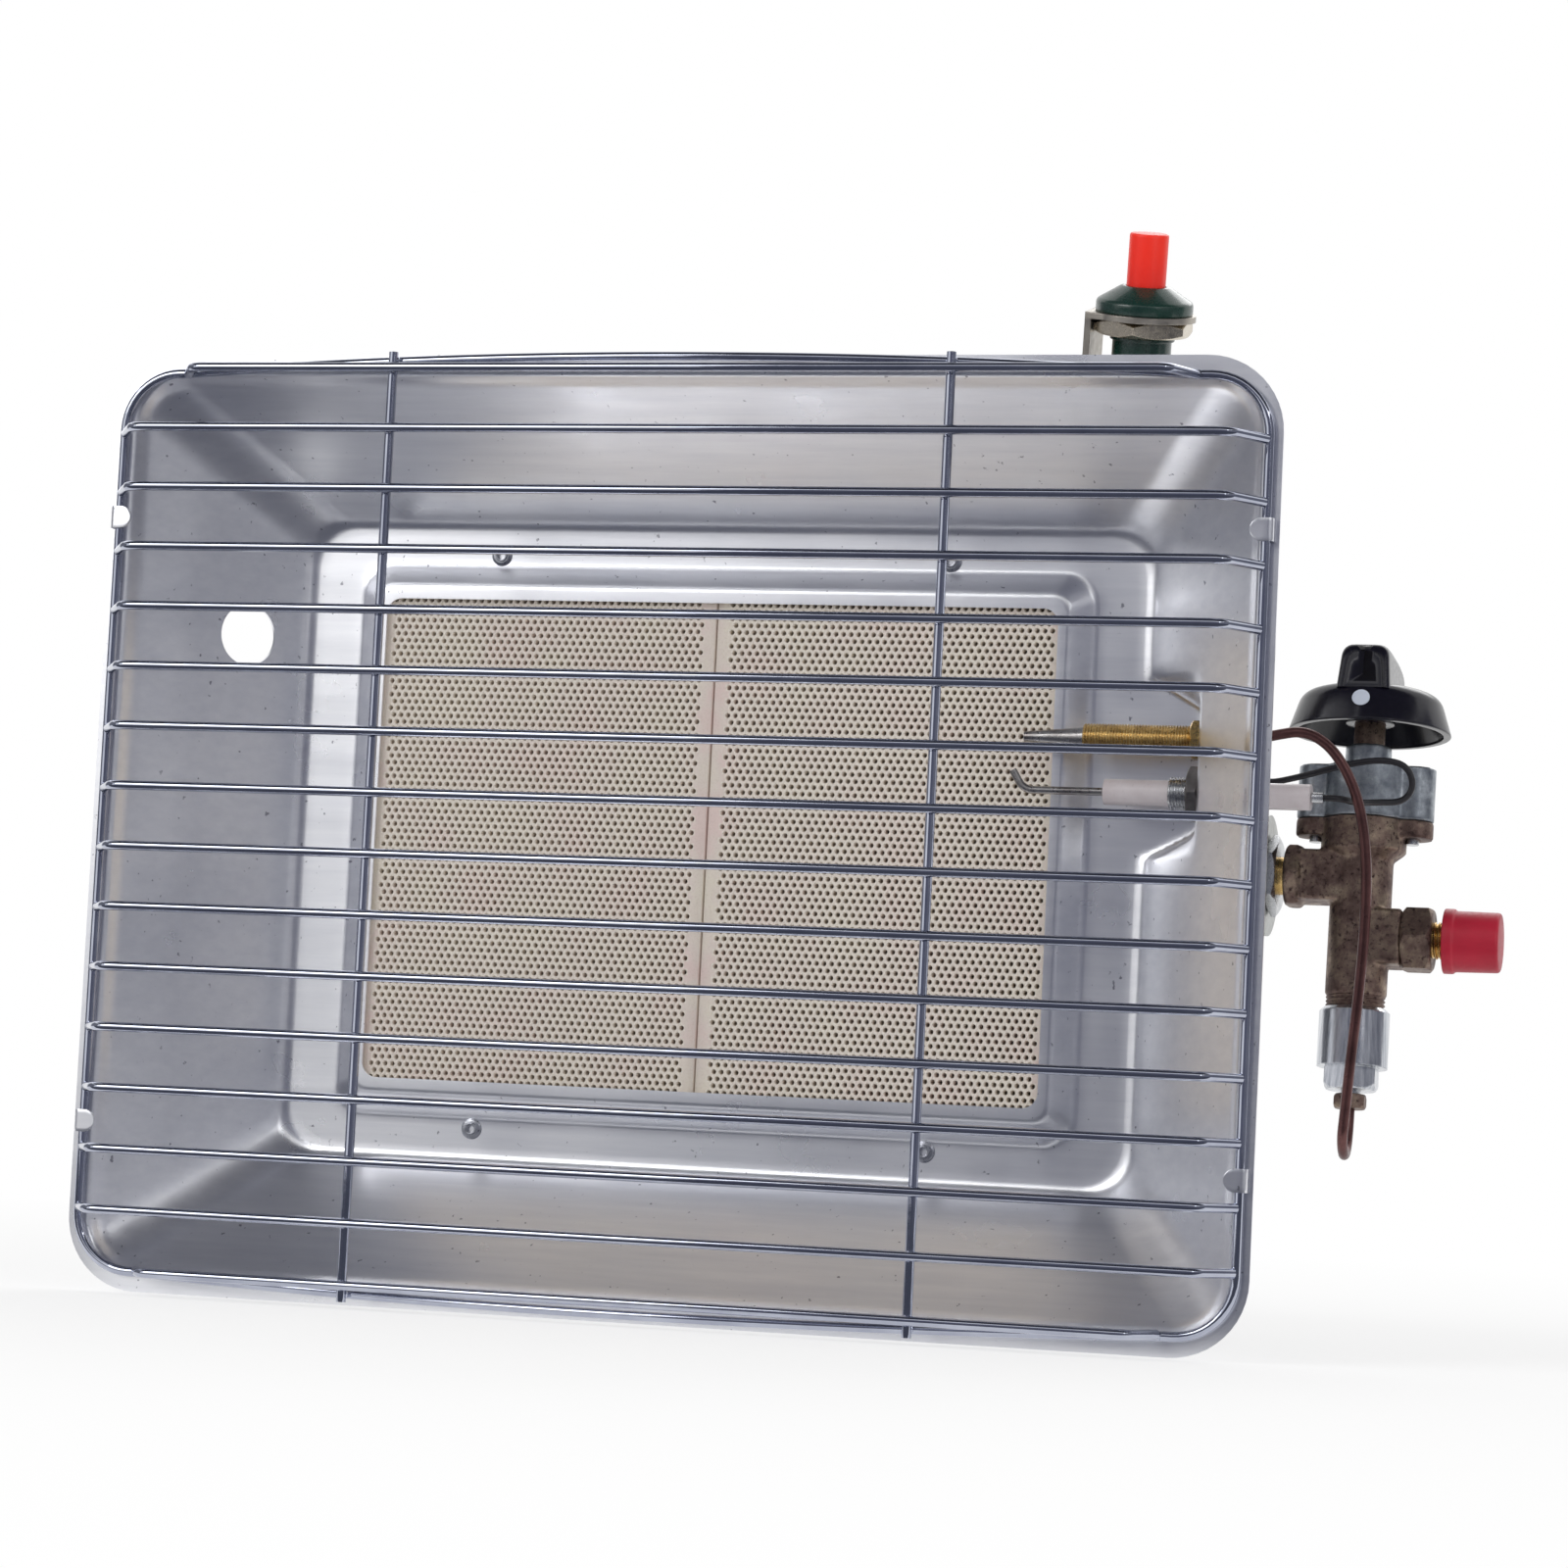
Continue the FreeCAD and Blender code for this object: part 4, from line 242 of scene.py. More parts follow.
def mix(tree, share, first, second, kind="MIX"):
    node = add_node(tree, "Mix")
    node.data_type = "RGBA"
    node.blend_type = kind
    for socket, value in (("Factor", share), ("A", first), ("B", second)):
        entry = [i for i in node.inputs if i.name == socket and i.enabled][0]
        if isinstance(value, (float, int, tuple)):
            entry.default_value = value
        else:
            tree.links.new(value, entry)
    return [o for o in node.outputs if o.name == "Result" and o.enabled][0]


def bump(tree, shader, height, strength, distance, edge=0.0):
    node = add_node(tree, "Bump", Strength=strength, Distance=distance * MM)
    tree.links.new(height, node.inputs["Height"])
    if edge:
        soft = add_node(tree, "Bevel", Radius=edge * MM)
        soft.samples = 4
        tree.links.new(soft.outputs["Normal"], node.inputs["Normal"])
    tree.links.new(node.outputs["Normal"], shader.inputs["Normal"])


def finish_material(name, base, other, metallic, rough, vary, patch, grain, dent, deep, edge,
                    speck=None, coat=0.0, stretch=None):
    """A material whose colour drifts between two shades, with uneven gloss and fine relief."""
    material, tree, shader, place = blank_material(name)
    shader.inputs["Metallic"].default_value = metallic
    shader.inputs["Coat Weight"].default_value = coat
    cloud = noise(tree, place, patch, 4.0, 0.6, stretch)
    tint = ramp(tree, cloud, [(0.35, colour(*base)), (0.68, colour(*other))])
    if speck:
        scale, where, shade = speck
        dots = noise(tree, place, scale, 2.0, 0.5)
        mask = ramp(tree, dots, [(where, (0, 0, 0, 1)), (where + 0.05, (1, 1, 1, 1))])
        tint = mix(tree, mask, tint, colour(*shade))
    tree.links.new(tint, shader.inputs["Base Color"])
    fine = noise(tree, place, grain, 3.0, 0.6, stretch)
    tree.links.new(spread(tree, fine, rough - vary, rough + vary), shader.inputs["Roughness"])
    bump(tree, shader, fine, dent, deep, edge)
    return material


def aluminium_bowl():
    """Satin pressed aluminium: cloudy sheen, rolling streaks, handling marks and small dark specks."""
    material, tree, shader, place = blank_material("satin_aluminium")
    shader.inputs["Metallic"].default_value = 1.0
    cloud = noise(tree, place, 14.0, 4.0, 0.55)
    tint = ramp(tree, cloud, [(0.3, colour(241, 242, 246)), (0.7, colour(250, 250, 252))])
    streak = noise(tree, place, 40.0, 5.0, 0.65, (0.6, 6.0, 9.0))
    tint = mix(tree, spread(tree, streak, 0.0, 0.3), tint, colour(208, 210, 219))
    dots = noise(tree, place, 520.0, 2.0, 0.5)
    spots = ramp(tree, dots, [(0.71, (0, 0, 0, 1)), (0.77, (1, 1, 1, 1))])
    tint = mix(tree, spots, tint, colour(158, 158, 166))
    tree.links.new(tint, shader.inputs["Base Color"])
    haze = noise(tree, place, 30.0, 4.0, 0.6)
    tree.links.new(spread(tree, haze, 0.26, 0.36), shader.inputs["Roughness"])
    relief = mix(tree, 0.5, streak, dots)
    bump(tree, shader, relief, 0.05, 0.12)
    return material


def tile_material():
    """Pale fired ceramic with warm and pinkish patches, and a painted highlight that makes the collar round
    each hole paler.
    """
    material, tree, shader, place = blank_material("fired_ceramic")
    patch = noise(tree, place, 70.0, 3.0, 0.6)
    tint = ramp(tree, patch, [(0.36, colour(227, 218, 204)), (0.52, colour(225, 213, 204)),
                              (0.66, colour(226, 206, 200))])
    # Painted highlight: the collar attribute pales the colour on each hole's rim, where light would catch it.
    ring = add_node(tree, "Attribute")
    ring.attribute_name = "collar"
    tint = mix(tree, ring.outputs["Fac"], tint, colour(240, 233, 222))
    fine = noise(tree, place, 1600.0, 3.0, 0.6)
    tint = mix(tree, spread(tree, fine, 0.0, 0.3, 0.5, 0.75), tint, colour(190, 174, 156))
    tree.links.new(tint, shader.inputs["Base Color"])
    tree.links.new(spread(tree, fine, 0.75, 0.95), shader.inputs["Roughness"])
    bump(tree, shader, fine, 0.3, 0.06)
    return material


def brass_casting():
    """Aged cast brass: brown patina with pale rubbed patches and dark pits."""
    material, tree, shader, place = blank_material("aged_cast_brass")
    shader.inputs["Metallic"].default_value = 0.85
    cloud = noise(tree, place, 150.0, 5.0, 0.7)
    tint = ramp(tree, cloud, [(0.32, colour(84, 66, 62)), (0.48, colour(120, 100, 92)),
                              (0.62, colour(150, 132, 116)), (0.75, colour(190, 172, 146))])
    pits = noise(tree, place, 800.0, 4.0, 0.65)
    mask = ramp(tree, pits, [(0.54, (0, 0, 0, 1)), (0.68, (1, 1, 1, 1))])
    tint = mix(tree, mask, tint, colour(62, 46, 46))
    tree.links.new(tint, shader.inputs["Base Color"])
    tree.links.new(spread(tree, cloud, 0.58, 0.36), shader.inputs["Roughness"])
    relief = mix(tree, 0.5, cloud, pits)
    bump(tree, shader, relief, 0.5, 0.18, 0.5)
    return material


def zinc_casting():
    """Die-cast zinc: mottled blue-grey, whose palest patches are painted glints."""
    material, tree, shader, place = blank_material("die_cast_zinc")
    shader.inputs["Metallic"].default_value = 0.9
    cloud = noise(tree, place, 170.0, 5.0, 0.7)
    # Random mottling; the palest shade stands for painted glints of light.
    tint = ramp(tree, cloud, [(0.34, colour(120, 126, 134)), (0.54, colour(158, 164, 170)),
                              (0.70, colour(206, 212, 216))])
    tree.links.new(tint, shader.inputs["Base Color"])
    fine = noise(tree, place, 1100.0, 3.0, 0.6)
    tree.links.new(spread(tree, fine, 0.28, 0.46), shader.inputs["Roughness"])
    relief = mix(tree, 0.5, cloud, fine)
    bump(tree, shader, relief, 0.35, 0.12, 0.4)
    return material


# For each slot: material name, two shades, metallic, roughness and its drift, fineness of the
# patches and of the grain, strength and depth of the relief, and the width of softened edges
FINISHES = {
    "rivet_aluminium": ("rivet_metal", (190, 192, 198), (160, 162, 170),
        1, 0.3, 0.06, 60, 900, 0.15, 0.05, 0.3),
    "box_steel": ("aluminised_steel", (168, 170, 174), (146, 148, 154),
        1, 0.42, 0.08, 40, 600, 0.12, 0.08, 0.8),
    "fibre": ("fibre_seal", (226, 224, 216), (206, 202, 192), 0, 0.92, 0.04, 200, 1400, 0.5, 0.2, 0),
    "tube_steel": ("zinc_plated_tube", (176, 178, 176), (150, 150, 146),
        1, 0.36, 0.08, 80, 700, 0.12, 0.06, 0.5),
    "bright_brass": ("bright_brass", (226, 194, 130), (184, 148, 90),
        1, 0.28, 0.07, 220, 900, 0.15, 0.05, 0.3),
    "plated_steel": ("plated_steel", (206, 207, 208), (172, 174, 178),
        1, 0.27, 0.07, 120, 900, 0.12, 0.05, 0.4),
    "streaked_plate": ("zinc_plated_bar", (222, 224, 228), (168, 172, 180),
        1, 0.22, 0.05, 160, 400, 0.04, 0.03, 0.5),
    "dark_steel": ("dark_steel", (146, 142, 140), (104, 100, 98), 1, 0.42, 0.08, 160, 900, 0.2, 0.06, 0.4),
    "probe_steel": ("heat_tinted_steel", (176, 174, 172), (132, 126, 124),
        1, 0.3, 0.06, 180, 900, 0.15, 0.05, 0),
    "guard_chrome": ("guard_chrome", (188, 192, 206), (168, 172, 188),
        1, 0.05, 0.025, 60, 500, 0.03, 0.03, 0),
    "bracket_steel": ("bracket_steel", (176, 170, 160), (154, 148, 140),
        1, 0.36, 0.08, 60, 700, 0.15, 0.06, 0.5),
    "nickel": ("nickel_plate", (208, 198, 180), (190, 180, 162), 1, 0.25, 0.06, 140, 900, 0.12, 0.05, 0.4),
    "green_plastic": ("green_plastic", (15, 46, 40), (20, 56, 46),
        0, 0.28, 0.06, 90, 1300, 0.15, 0.05, 0.3),
    "red_plastic": ("red_plastic", (255, 42, 16), (244, 34, 16), 0, 0.38, 0.05, 70, 1200, 0.15, 0.05, 0.3),
    "crimson_vinyl": ("crimson_vinyl", (184, 12, 48), (162, 8, 40),
        0, 0.44, 0.06, 60, 1000, 0.2, 0.08, 0.3),
    "black_plastic": ("black_moulding", (14, 13, 24), (22, 20, 34), 0, 0.2, 0.05, 60, 900, 0.08, 0.04, 0.3),
    "white_paint": ("white_paint", (214, 222, 236), (198, 206, 222), 0, 0.4, 0.06, 60, 900, 0.15, 0.05, 0),
    "white_ceramic": ("glazed_ceramic", (214, 206, 208), (202, 192, 194),
        0, 0.32, 0.06, 120, 900, 0.12, 0.05, 0.3),
    "piezo": ("piezo_ceramic", (96, 92, 88), (70, 68, 66), 0, 0.6, 0.06, 60, 900, 0.15, 0.05, 0),
    "black_rubber": ("black_rubber", (24, 22, 28), (34, 32, 38), 0, 0.46, 0.06, 100, 1200, 0.2, 0.05, 0),
    "copper": ("aged_copper", (108, 74, 72), (80, 54, 54), 0.8, 0.34, 0.08, 120, 900, 0.15, 0.05, 0),
}
EXTRAS = {
    "box_steel": {"speck": (260, 0.70, (180, 182, 186))},
    "streaked_plate": {"stretch": (6.0, 6.0, 0.3)},
    "green_plastic": {"coat": 0.3},
    "white_ceramic": {"coat": 0.2},
}


def make_materials():
    made = {"bowl_aluminium": aluminium_bowl(), "tile_ceramic": tile_material(),
            "cast_brass": brass_casting(), "cast_zinc": zinc_casting()}
    for slot, values in FINISHES.items():
        made[slot] = finish_material(*values, **EXTRAS.get(slot, {}))
    return made


materials = make_materials()


# Mesh helpers

def linked(name, data):
    """A new object of the scene."""
    thing = bpy.data.objects.new(name, data)
    bpy.context.scene.collection.objects.link(thing)
    return thing


def piece(name, points, faces, slot, body="heater", matrix=PLAIN, stands_for=(), angle=35.0, flip=False):
    """A mesh piece from points in its own drawing, placed in the frame and riding on a body."""
    mesh = bpy.data.meshes.new(name)
    placed = [row(matrix @ Vector(p)) for p in points]
    if flip:
        faces = [tuple(reversed(f)) for f in faces]
    mesh.from_pydata(placed, [], faces)
    mesh.validate()
    return dress(linked(name, mesh), slot, body, stands_for, angle)


def smoothed(thing, angle):
    """Smooth shading with sharp edges above an angle in degrees."""
    thing.data.shade_smooth()
    thing.data.set_sharp_from_angle(angle=math.radians(angle))


def dress(thing, slot, body="heater", stands_for=(), angle=35.0):
    """Gives a piece its shading, the material of its slot and its body, and hides the nodes it replaces."""
    if thing.type == "MESH":
        smoothed(thing, angle)
    thing.data.materials.clear()
    thing.data.materials.append(materials[slot])
    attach(thing, body)
    if stands_for:
        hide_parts(*stands_for)
    return thing


def baked(thing):
    """Replaces a thing's mesh by the result of its modifiers."""
    graph = bpy.context.evaluated_depsgraph_get()
    result = bpy.data.meshes.new_from_object(thing.evaluated_get(graph))
    thing.modifiers.clear()
    thing.data = result


def thickened(thing, offset):
    """Adds the sheet's thickness, to one side of a thing or to both."""
    thicken = thing.modifiers.new("thickness", "SOLIDIFY")
    thicken.thickness = SHEET * MM
    thicken.offset = offset
    return thicken


def band(first, second, count):
    """Faces between two closed rings of points, from the numbers of their first points."""
    return [(first + j, first + (j + 1) % count, second + (j + 1) % count, second + j) for j in range(count)]


def grid_faces(rows, columns, closed=True):
    faces = []
    span = columns if closed else columns - 1
    for i in range(rows - 1):
        for j in range(span):
            k = (j + 1) % columns
            faces.append((i * columns + j, i * columns + k, (i + 1) * columns + k, (i + 1) * columns + j))
    return faces


def rounded(profile, amounts, steps=4):
    """A line of points with its corners rounded by the given amounts."""
    out = [tuple(profile[0])]
    for before, here, after, amount in zip(profile, profile[1:], profile[2:], amounts):
        if amount <= 0:
            out.append(tuple(here))
            continue
        here = list(here)
        first = blend(here, before, amount)
        last = blend(here, after, amount)
        for i in range(steps + 1):
            t = i / steps
            out.append(tuple((1 - t) ** 2 * a + 2 * t * (1 - t) * b + t * t * c
                             for a, b, c in zip(first, here, last)))
    out.append(tuple(profile[-1]))
    return out


def blend(here, other, amount):
    length = math.sqrt(sum((a - b) ** 2 for a, b in zip(here[:3], other[:3])))
    share = min(amount / length, 0.48)
    return [a + (b - a) * share for a, b in zip(here, other)]


def lathe(name, profile, slot, body="heater", matrix=PLAIN, stands_for=(), turns=64, loop=False, angle=35.0):
    """A turned piece from (radius, height) points, closed on itself when loop is true."""
    points = []
    for radius, height in profile:
        for i in range(turns):
            a = 2 * math.pi * i / turns
            points.append((radius * math.cos(a), radius * math.sin(a), height))
    faces = grid_faces(len(profile), turns)
    if loop:
        last = (len(profile) - 1) * turns
        faces += band(last, 0, turns)
    else:
        for ring, order in ((0, -1), (len(profile) - 1, 1)):
            if profile[ring][0] > 0.001:
                loop_points = [ring * turns + j for j in range(turns)]
                faces.append(tuple(loop_points[::order]))
    return piece(name, points, faces, slot, body, matrix, stands_for, angle)


def thread_points(radius, depth, pitch, low, high, turns=48, per_turn=8):
    """Rows of points on a screw thread with a rounded crest."""
    rows = max(2, int((high - low) / pitch * per_turn))
    points = []
    for i in range(rows + 1):
        z = low + (high - low) * i / rows
        for j in range(turns):
            a = 2 * math.pi * j / turns
            wave = 0.5 - 0.5 * math.cos(2 * math.pi * z / pitch - a)
            fade = min(1.0, (z - low) / (0.5 * pitch), (high - z) / (0.5 * pitch))
            r = radius - depth * max(0.0, fade) * wave ** 1.4 - depth * 0.5 * (1 - max(0.0, fade))
            points.append((r * math.cos(a), r * math.sin(a), z))
    return points, rows + 1, turns


def wire_piece(name, paths, radius, slot, stands_for=(), free=False, steps=6):
    """Round wires of one thickness: each path is a bent polyline, or one smooth NURBS line if free."""
    curve = bpy.data.curves.new(name, "CURVE")
    curve.dimensions = "3D"
    curve.bevel_depth = radius * MM
    curve.bevel_resolution = steps
    curve.resolution_u = 10
    curve.use_fill_caps = True
    for points in paths:
        spline = curve.splines.new("NURBS" if free else "POLY")
        spline.points.add(len(points) - 1)
        for target, p in zip(spline.points, points):
            target.co = (*row(p), 1.0)
        if free:
            spline.order_u = 3
            spline.use_endpoint_u = True
        else:
            spline.use_smooth = True
    return dress(linked(name, curve), slot, "heater", stands_for)


def softened(node, name, slot, voxel, rounds):
    """A cast piece: the CAD solid with its edges and inner corners melted into fillets."""
    thing = linked(name, nodes[node].data.copy())
    remesh = thing.modifiers.new("remesh", "REMESH")
    remesh.mode = "VOXEL"
    remesh.voxel_size = voxel * MM
    smooth = thing.modifiers.new("smooth", "SMOOTH")
    smooth.factor = 0.5
    smooth.iterations = rounds
    bpy.context.view_layer.update()
    baked(thing)
    dress(thing, slot, "heater", (node,), 180.0)


# Bowl

def run(first, last, steps):
    """Points from the first towards the last, without the last."""
    return [tuple(a + (b - a) * i / steps for a, b in zip(first, last)) for i in range(steps)]


def corner_arc(x, z, corner, start):
    """A quarter circle of twelve points, without its end."""
    turns = [math.radians(start + 90 * i / 12) for i in range(12)]
    return [(x + corner * math.cos(a), z + corner * math.sin(a)) for a in turns]


def left_run(x, top, low):
    """Columns down the left side, evenly spaced in the band of the lighting hole."""
    scale = min(1.0, (top - 0.5) / (WALL_HOLE_Z + HOLE_BAND + 2.3))
    band_top = (WALL_HOLE_Z + HOLE_BAND) * scale
    band_low = (WALL_HOLE_Z - HOLE_BAND) * scale
    columns = run((x, top), (x, band_top), HOLE_ABOVE)
    columns += run((x, band_top), (x, band_low), HOLE_STEPS)
    return columns + run((x, band_low), (x, low), 10)


def ring_points(y, half_x, half_z, corner):
    """One ring of the pressed bowl, with close columns at the pocket and at the lighting hole."""
    x, z = half_x - corner, half_z - corner
    columns = run((half_x, -z), (half_x, 0), 10)
    columns += run((half_x, 0), (half_x, CLOSE_TO_Z), 40)
    columns += run((half_x, CLOSE_TO_Z), (half_x, z), 8)
    columns += corner_arc(x, z, corner, 0)
    columns += run((x, half_z), (-x, half_z), 24)
    columns += corner_arc(-x, z, corner, 90)
    columns += left_run(-half_x, z, -z)
    columns += corner_arc(-x, -z, corner, 180)
    columns += run((-x, -half_z), (x, -half_z), 24)
    columns += corner_arc(x, -z, corner, 270)
    return [Vector((across, y, up)) for across, up in columns]


def soft_step(low, high, value):
    t = min(1.0, max(0.0, (value - low) / (high - low)))
    return t * t * (3 - 2 * t)


def pocketed(point):
    """Moves a point of the sloping right wall out into the flat-ended pocket."""
    if point.x < PLATE_X - 4 or point.y <= POCKET_START_Y:
        return point
    side = soft_step(POCKET_LOW - 9.0, POCKET_LOW + 3.0, point.z)
    side *= 1 - soft_step(POCKET_HIGH - 4.0, POCKET_HIGH + 9.5, point.z)
    if side <= 0:
        return point
    deep = BOWL_DEPTH - POCKET_START_Y
    share = (point.y - POCKET_START_Y) / deep
    fold = PLATE_X + (POCKET_X - PLATE_X) * side
    wall = math.hypot(POCKET_X - fold, deep)
    turn = wall / (wall + fold - PLATE_X)
    if share < turn:
        out = share / turn
        target = Vector((POCKET_X + (fold - POCKET_X) * out, POCKET_START_Y + deep * out, point.z))
    else:
        back = (share - turn) / (1 - turn)
        target = Vector((fold - (fold - PLATE_X) * back, BOWL_DEPTH, point.z))
    if point.x < PLATE_X:
        target = Vector((point.x, BOWL_DEPTH, point.z))
    reach = (target - Vector((fold, BOWL_DEPTH, point.z))).length
    if reach < POCKET_CORNER:
        middle = Vector((fold - POCKET_CORNER * 0.25, BOWL_DEPTH - POCKET_CORNER * 0.22, point.z))
        target = target.lerp(middle, 1 - reach / POCKET_CORNER)
    return point.lerp(target, min(1.0, side * 5))


def reflector():
    """The pressed bowl with soft bends, its pocket and its lighting hole."""
    path = [(0.0, RIM_X, RIM_Z, 19.0), (0.0, MOUTH_X, MOUTH_Z, 14.0),
            (SHOULDER_DEPTH, SLOPE_X, SLOPE_Z, 13.1), (BOWL_DEPTH, PLATE_X, PLATE_Z, 11.5),
            (BOWL_DEPTH, EMBOSS_X, EMBOSS_Z, 8.0), (PLATEAU_Y, PLATEAU_X, PLATEAU_Z, 4.6),
            (PLATEAU_Y, OPENING_X, OPENING_Z, 4.0)]
    smooth = rounded(path, [1.6, 1.8, 3.0, 1.7, 1.4], 5)
    dense = []
    for first, second in zip(smooth, smooth[1:]):
        gap = abs(first[0] - second[0]) + abs(first[1] - second[1])
        dense += run(first, second, max(1, int(gap / 2.0)))
    dense.append(smooth[-1])
    points = []
    for y, half_x, half_z, corner in dense:
        points += [pocketed(p) for p in ring_points(y, half_x, half_z, corner)]
    columns = len(points) // len(dense)
    faces = round_hole(points, grid_faces(len(dense), columns), [ring[0] for ring in dense], columns)
    thing = piece("reflector", points, faces, "bowl_aluminium", angle=180.0, stands_for=("reflector_pan",))
    thickened(thing, -1.0).use_even_offset = True
    bpy.context.view_layer.update()
    baked(thing)
    smoothed(thing, 50)


def round_hole(points, faces, depths, columns):
    """Swaps a patch of the left wall's grid for faces that run to a round hole."""
    first_column = LEFT_RUN_FROM + HOLE_ABOVE
    last_column = first_column + HOLE_STEPS
    inside = [i for i, y in enumerate(depths) if abs(y - WALL_HOLE_Y) < HOLE_PATCH_HALF]
    first_row, last_row = inside[0], inside[-1]
    kept = []
    for face in faces:
        row_index, column = divmod(face[0], columns)
        if not (first_row <= row_index < last_row and first_column <= column < last_column):
            kept.append(face)
    loop = [(first_row, c) for c in range(first_column, last_column)]
    loop += [(r, last_column) for r in range(first_row, last_row)]
    loop += [(last_row, c) for c in range(last_column, first_column, -1)]
    loop += [(r, first_column) for r in range(last_row, first_row, -1)]
    slope = (SLOPE_X - PLATE_X) / (BOWL_DEPTH - SHOULDER_DEPTH)
    middle = Vector((-(SLOPE_X - slope * (WALL_HOLE_Y - SHOULDER_DEPTH)), WALL_HOLE_Y, WALL_HOLE_Z))
    down_wall = Vector((slope, 1, 0)).normalized()
    first_new = len(points)
    for r, c in loop:
        away = points[r * columns + c] - middle
        a = math.atan2(away.dot(down_wall), away.z)
        upright = Vector((0, 0, WALL_HOLE_R * math.cos(a)))
        points.append(middle + down_wall * WALL_HOLE_R * math.sin(a) + upright)
    for i, (r, c) in enumerate(loop):
        n = (i + 1) % len(loop)
        next_r, next_c = loop[n]
        kept.append((r * columns + c, next_r * columns + next_c, first_new + n, first_new + i))
    return kept


def tongue(side, z):
    """A half-round tongue folded from the rim over the guard's side wire."""
    outer, top, length, half = 150.3, -2.9, 5.3, 2.8
    path = rounded([(outer, 0.6), (outer, top), (outer - length, top)], [1.2], 6)
    rows = [(x, y, half) for x, y in path[:-1]]
    straight = outer - length + half
    for i in range(9):
        a = math.radians(90 * i / 8)
        rows.append((straight - half * math.sin(a) * 0.999, top, half * math.cos(a) + 0.02))
    points = []
    for x, y, wide in rows:
        for j in range(7):
            points.append((side * x, y, z + wide * (j / 3 - 1)))
    faces = grid_faces(len(rows), 7, closed=False)
    name = "tongue_" + ("right" if side > 0 else "left") + ("_high" if z > 0 else "_low")
    thing = piece(name, points, faces, "bowl_aluminium", flip=side > 0)
    thickened(thing, 0.0)
    edge = thing.modifiers.new("edge", "BEVEL")
    edge.width = 0.18 * MM
    edge.segments = 2
    edge.limit_method = "ANGLE"
    baked(thing)


# Tiles

def tile(side):
    """One ceramic tile with every hole of its staggered field, each with a shallow collar that carries a
    painted highlight.
    """
    around = 8
    margin = 2.5
    cell_x, cell_z = HOLE_PITCH_X / 2, HOLE_PITCH_Z / 2
    rows = int((TILE_HIGH - 2 * margin) / HOLE_PITCH_Z) + 1
    columns = int((TILE_WIDE - 2 * margin) / HOLE_PITCH_X)
    top = (rows - 1) * cell_z
    left = -(columns - 0.5) * cell_x
    points, collar, faces = [], [], []
    cell_edge = [(1, 0), (1, 1), (0, 1), (-1, 1), (-1, 0), (-1, -1), (0, -1), (1, -1)]
    # Each level: radius, depth, and the strength of the painted highlight on the hole's rim.
    levels = [(0.80, -0.05, 1.0), (HOLE_R, 0.16, 0.6), (HOLE_R * 0.96, 4.5, 0.0)]
    for r in range(rows):
        z = top - r * HOLE_PITCH_Z
        for c in range(columns):
            x = left + c * HOLE_PITCH_X + (cell_x if r % 2 else 0.0)
            first = len(points)
            points += [(x + across * cell_x, 0.0, z + up * cell_z) for across, up in cell_edge]
            collar += [0.0] * around
            for radius, depth, shade in levels:
                for k in range(around):
                    a = 2 * math.pi * k / around
                    points.append((x + radius * math.cos(a), depth, z + radius * math.sin(a)))
                    collar.append(shade)
            for base in (first, first + around, first + 2 * around):
                faces += band(base, base + around, around)
            fills_right = r % 2 == 0 and c == columns - 1
            fills_left = r % 2 == 1 and c == 0
            if fills_right or fills_left:
                x += cell_x if fills_right else -2 * cell_x
                faces.append(tuple(range(len(points), len(points) + 4)))
                points += [(x, 0.0, z - cell_z), (x + cell_x, 0.0, z - cell_z),
                           (x + cell_x, 0.0, z + cell_z), (x, 0.0, z + cell_z)]
                collar += [0.0] * 4
    half_h, half_w = TILE_HIGH / 2, TILE_WIDE / 2
    chamfer = 0.25
    frame_rows = [(left - cell_x, left + columns * HOLE_PITCH_X, -top - cell_z, top + cell_z, 0.0),
                  (chamfer - half_w, half_w - chamfer, chamfer - half_h, half_h - chamfer, 0.0),
                  (-half_w, half_w, -half_h, half_h, chamfer), (-half_w, half_w, -half_h, half_h, TILE_THICK)]
    start = len(points)
    for x0, x1, z0, z1, y in frame_rows:
        points += [(x0, y, z0), (x1, y, z0), (x1, y, z1), (x0, y, z1)]
        collar += [0.0] * 4
    for base in (start, start + 4, start + 8):
        for k in range(4):
            n = (k + 1) % 4
            faces.append((base + n, base + k, base + 4 + k, base + 4 + n))
    faces.append(tuple(range(start + 12, start + 16)))
    name = "tile_right" if side > 0 else "tile_left"
    matrix = Matrix.Translation((side * (TILE_SEAM + TILE_WIDE) / 2, TILE_FRONT_Y, 0))
    thing = piece(name, points, faces, "tile_ceramic", matrix=matrix, stands_for=("ceramic_" + name,),
                  angle=60.0)
    # The painted highlight of the hole rims, kept as a point attribute.
    painted_rim_highlight_layer = thing.data.attributes.new("collar", "FLOAT", "POINT")
    painted_rim_highlight_layer.data.foreach_set("value", collar)


# Guard

def bow_y(x):
    """Depth of the top and bottom bows, which touch the uprights from behind."""
    touch = UPRIGHT_Y + 2 * WIRE_R + 0.05
    bulge = (RING_Y - touch) / (1 - (UPRIGHT_X / BOW_END_X) ** 2)
    return RING_Y - bulge * (1 - (x / BOW_END_X) ** 2)


def bar_heights():
    return [BAR_PITCH * ((BAR_COUNT - 1) / 2 - i) for i in range(BAR_COUNT)]


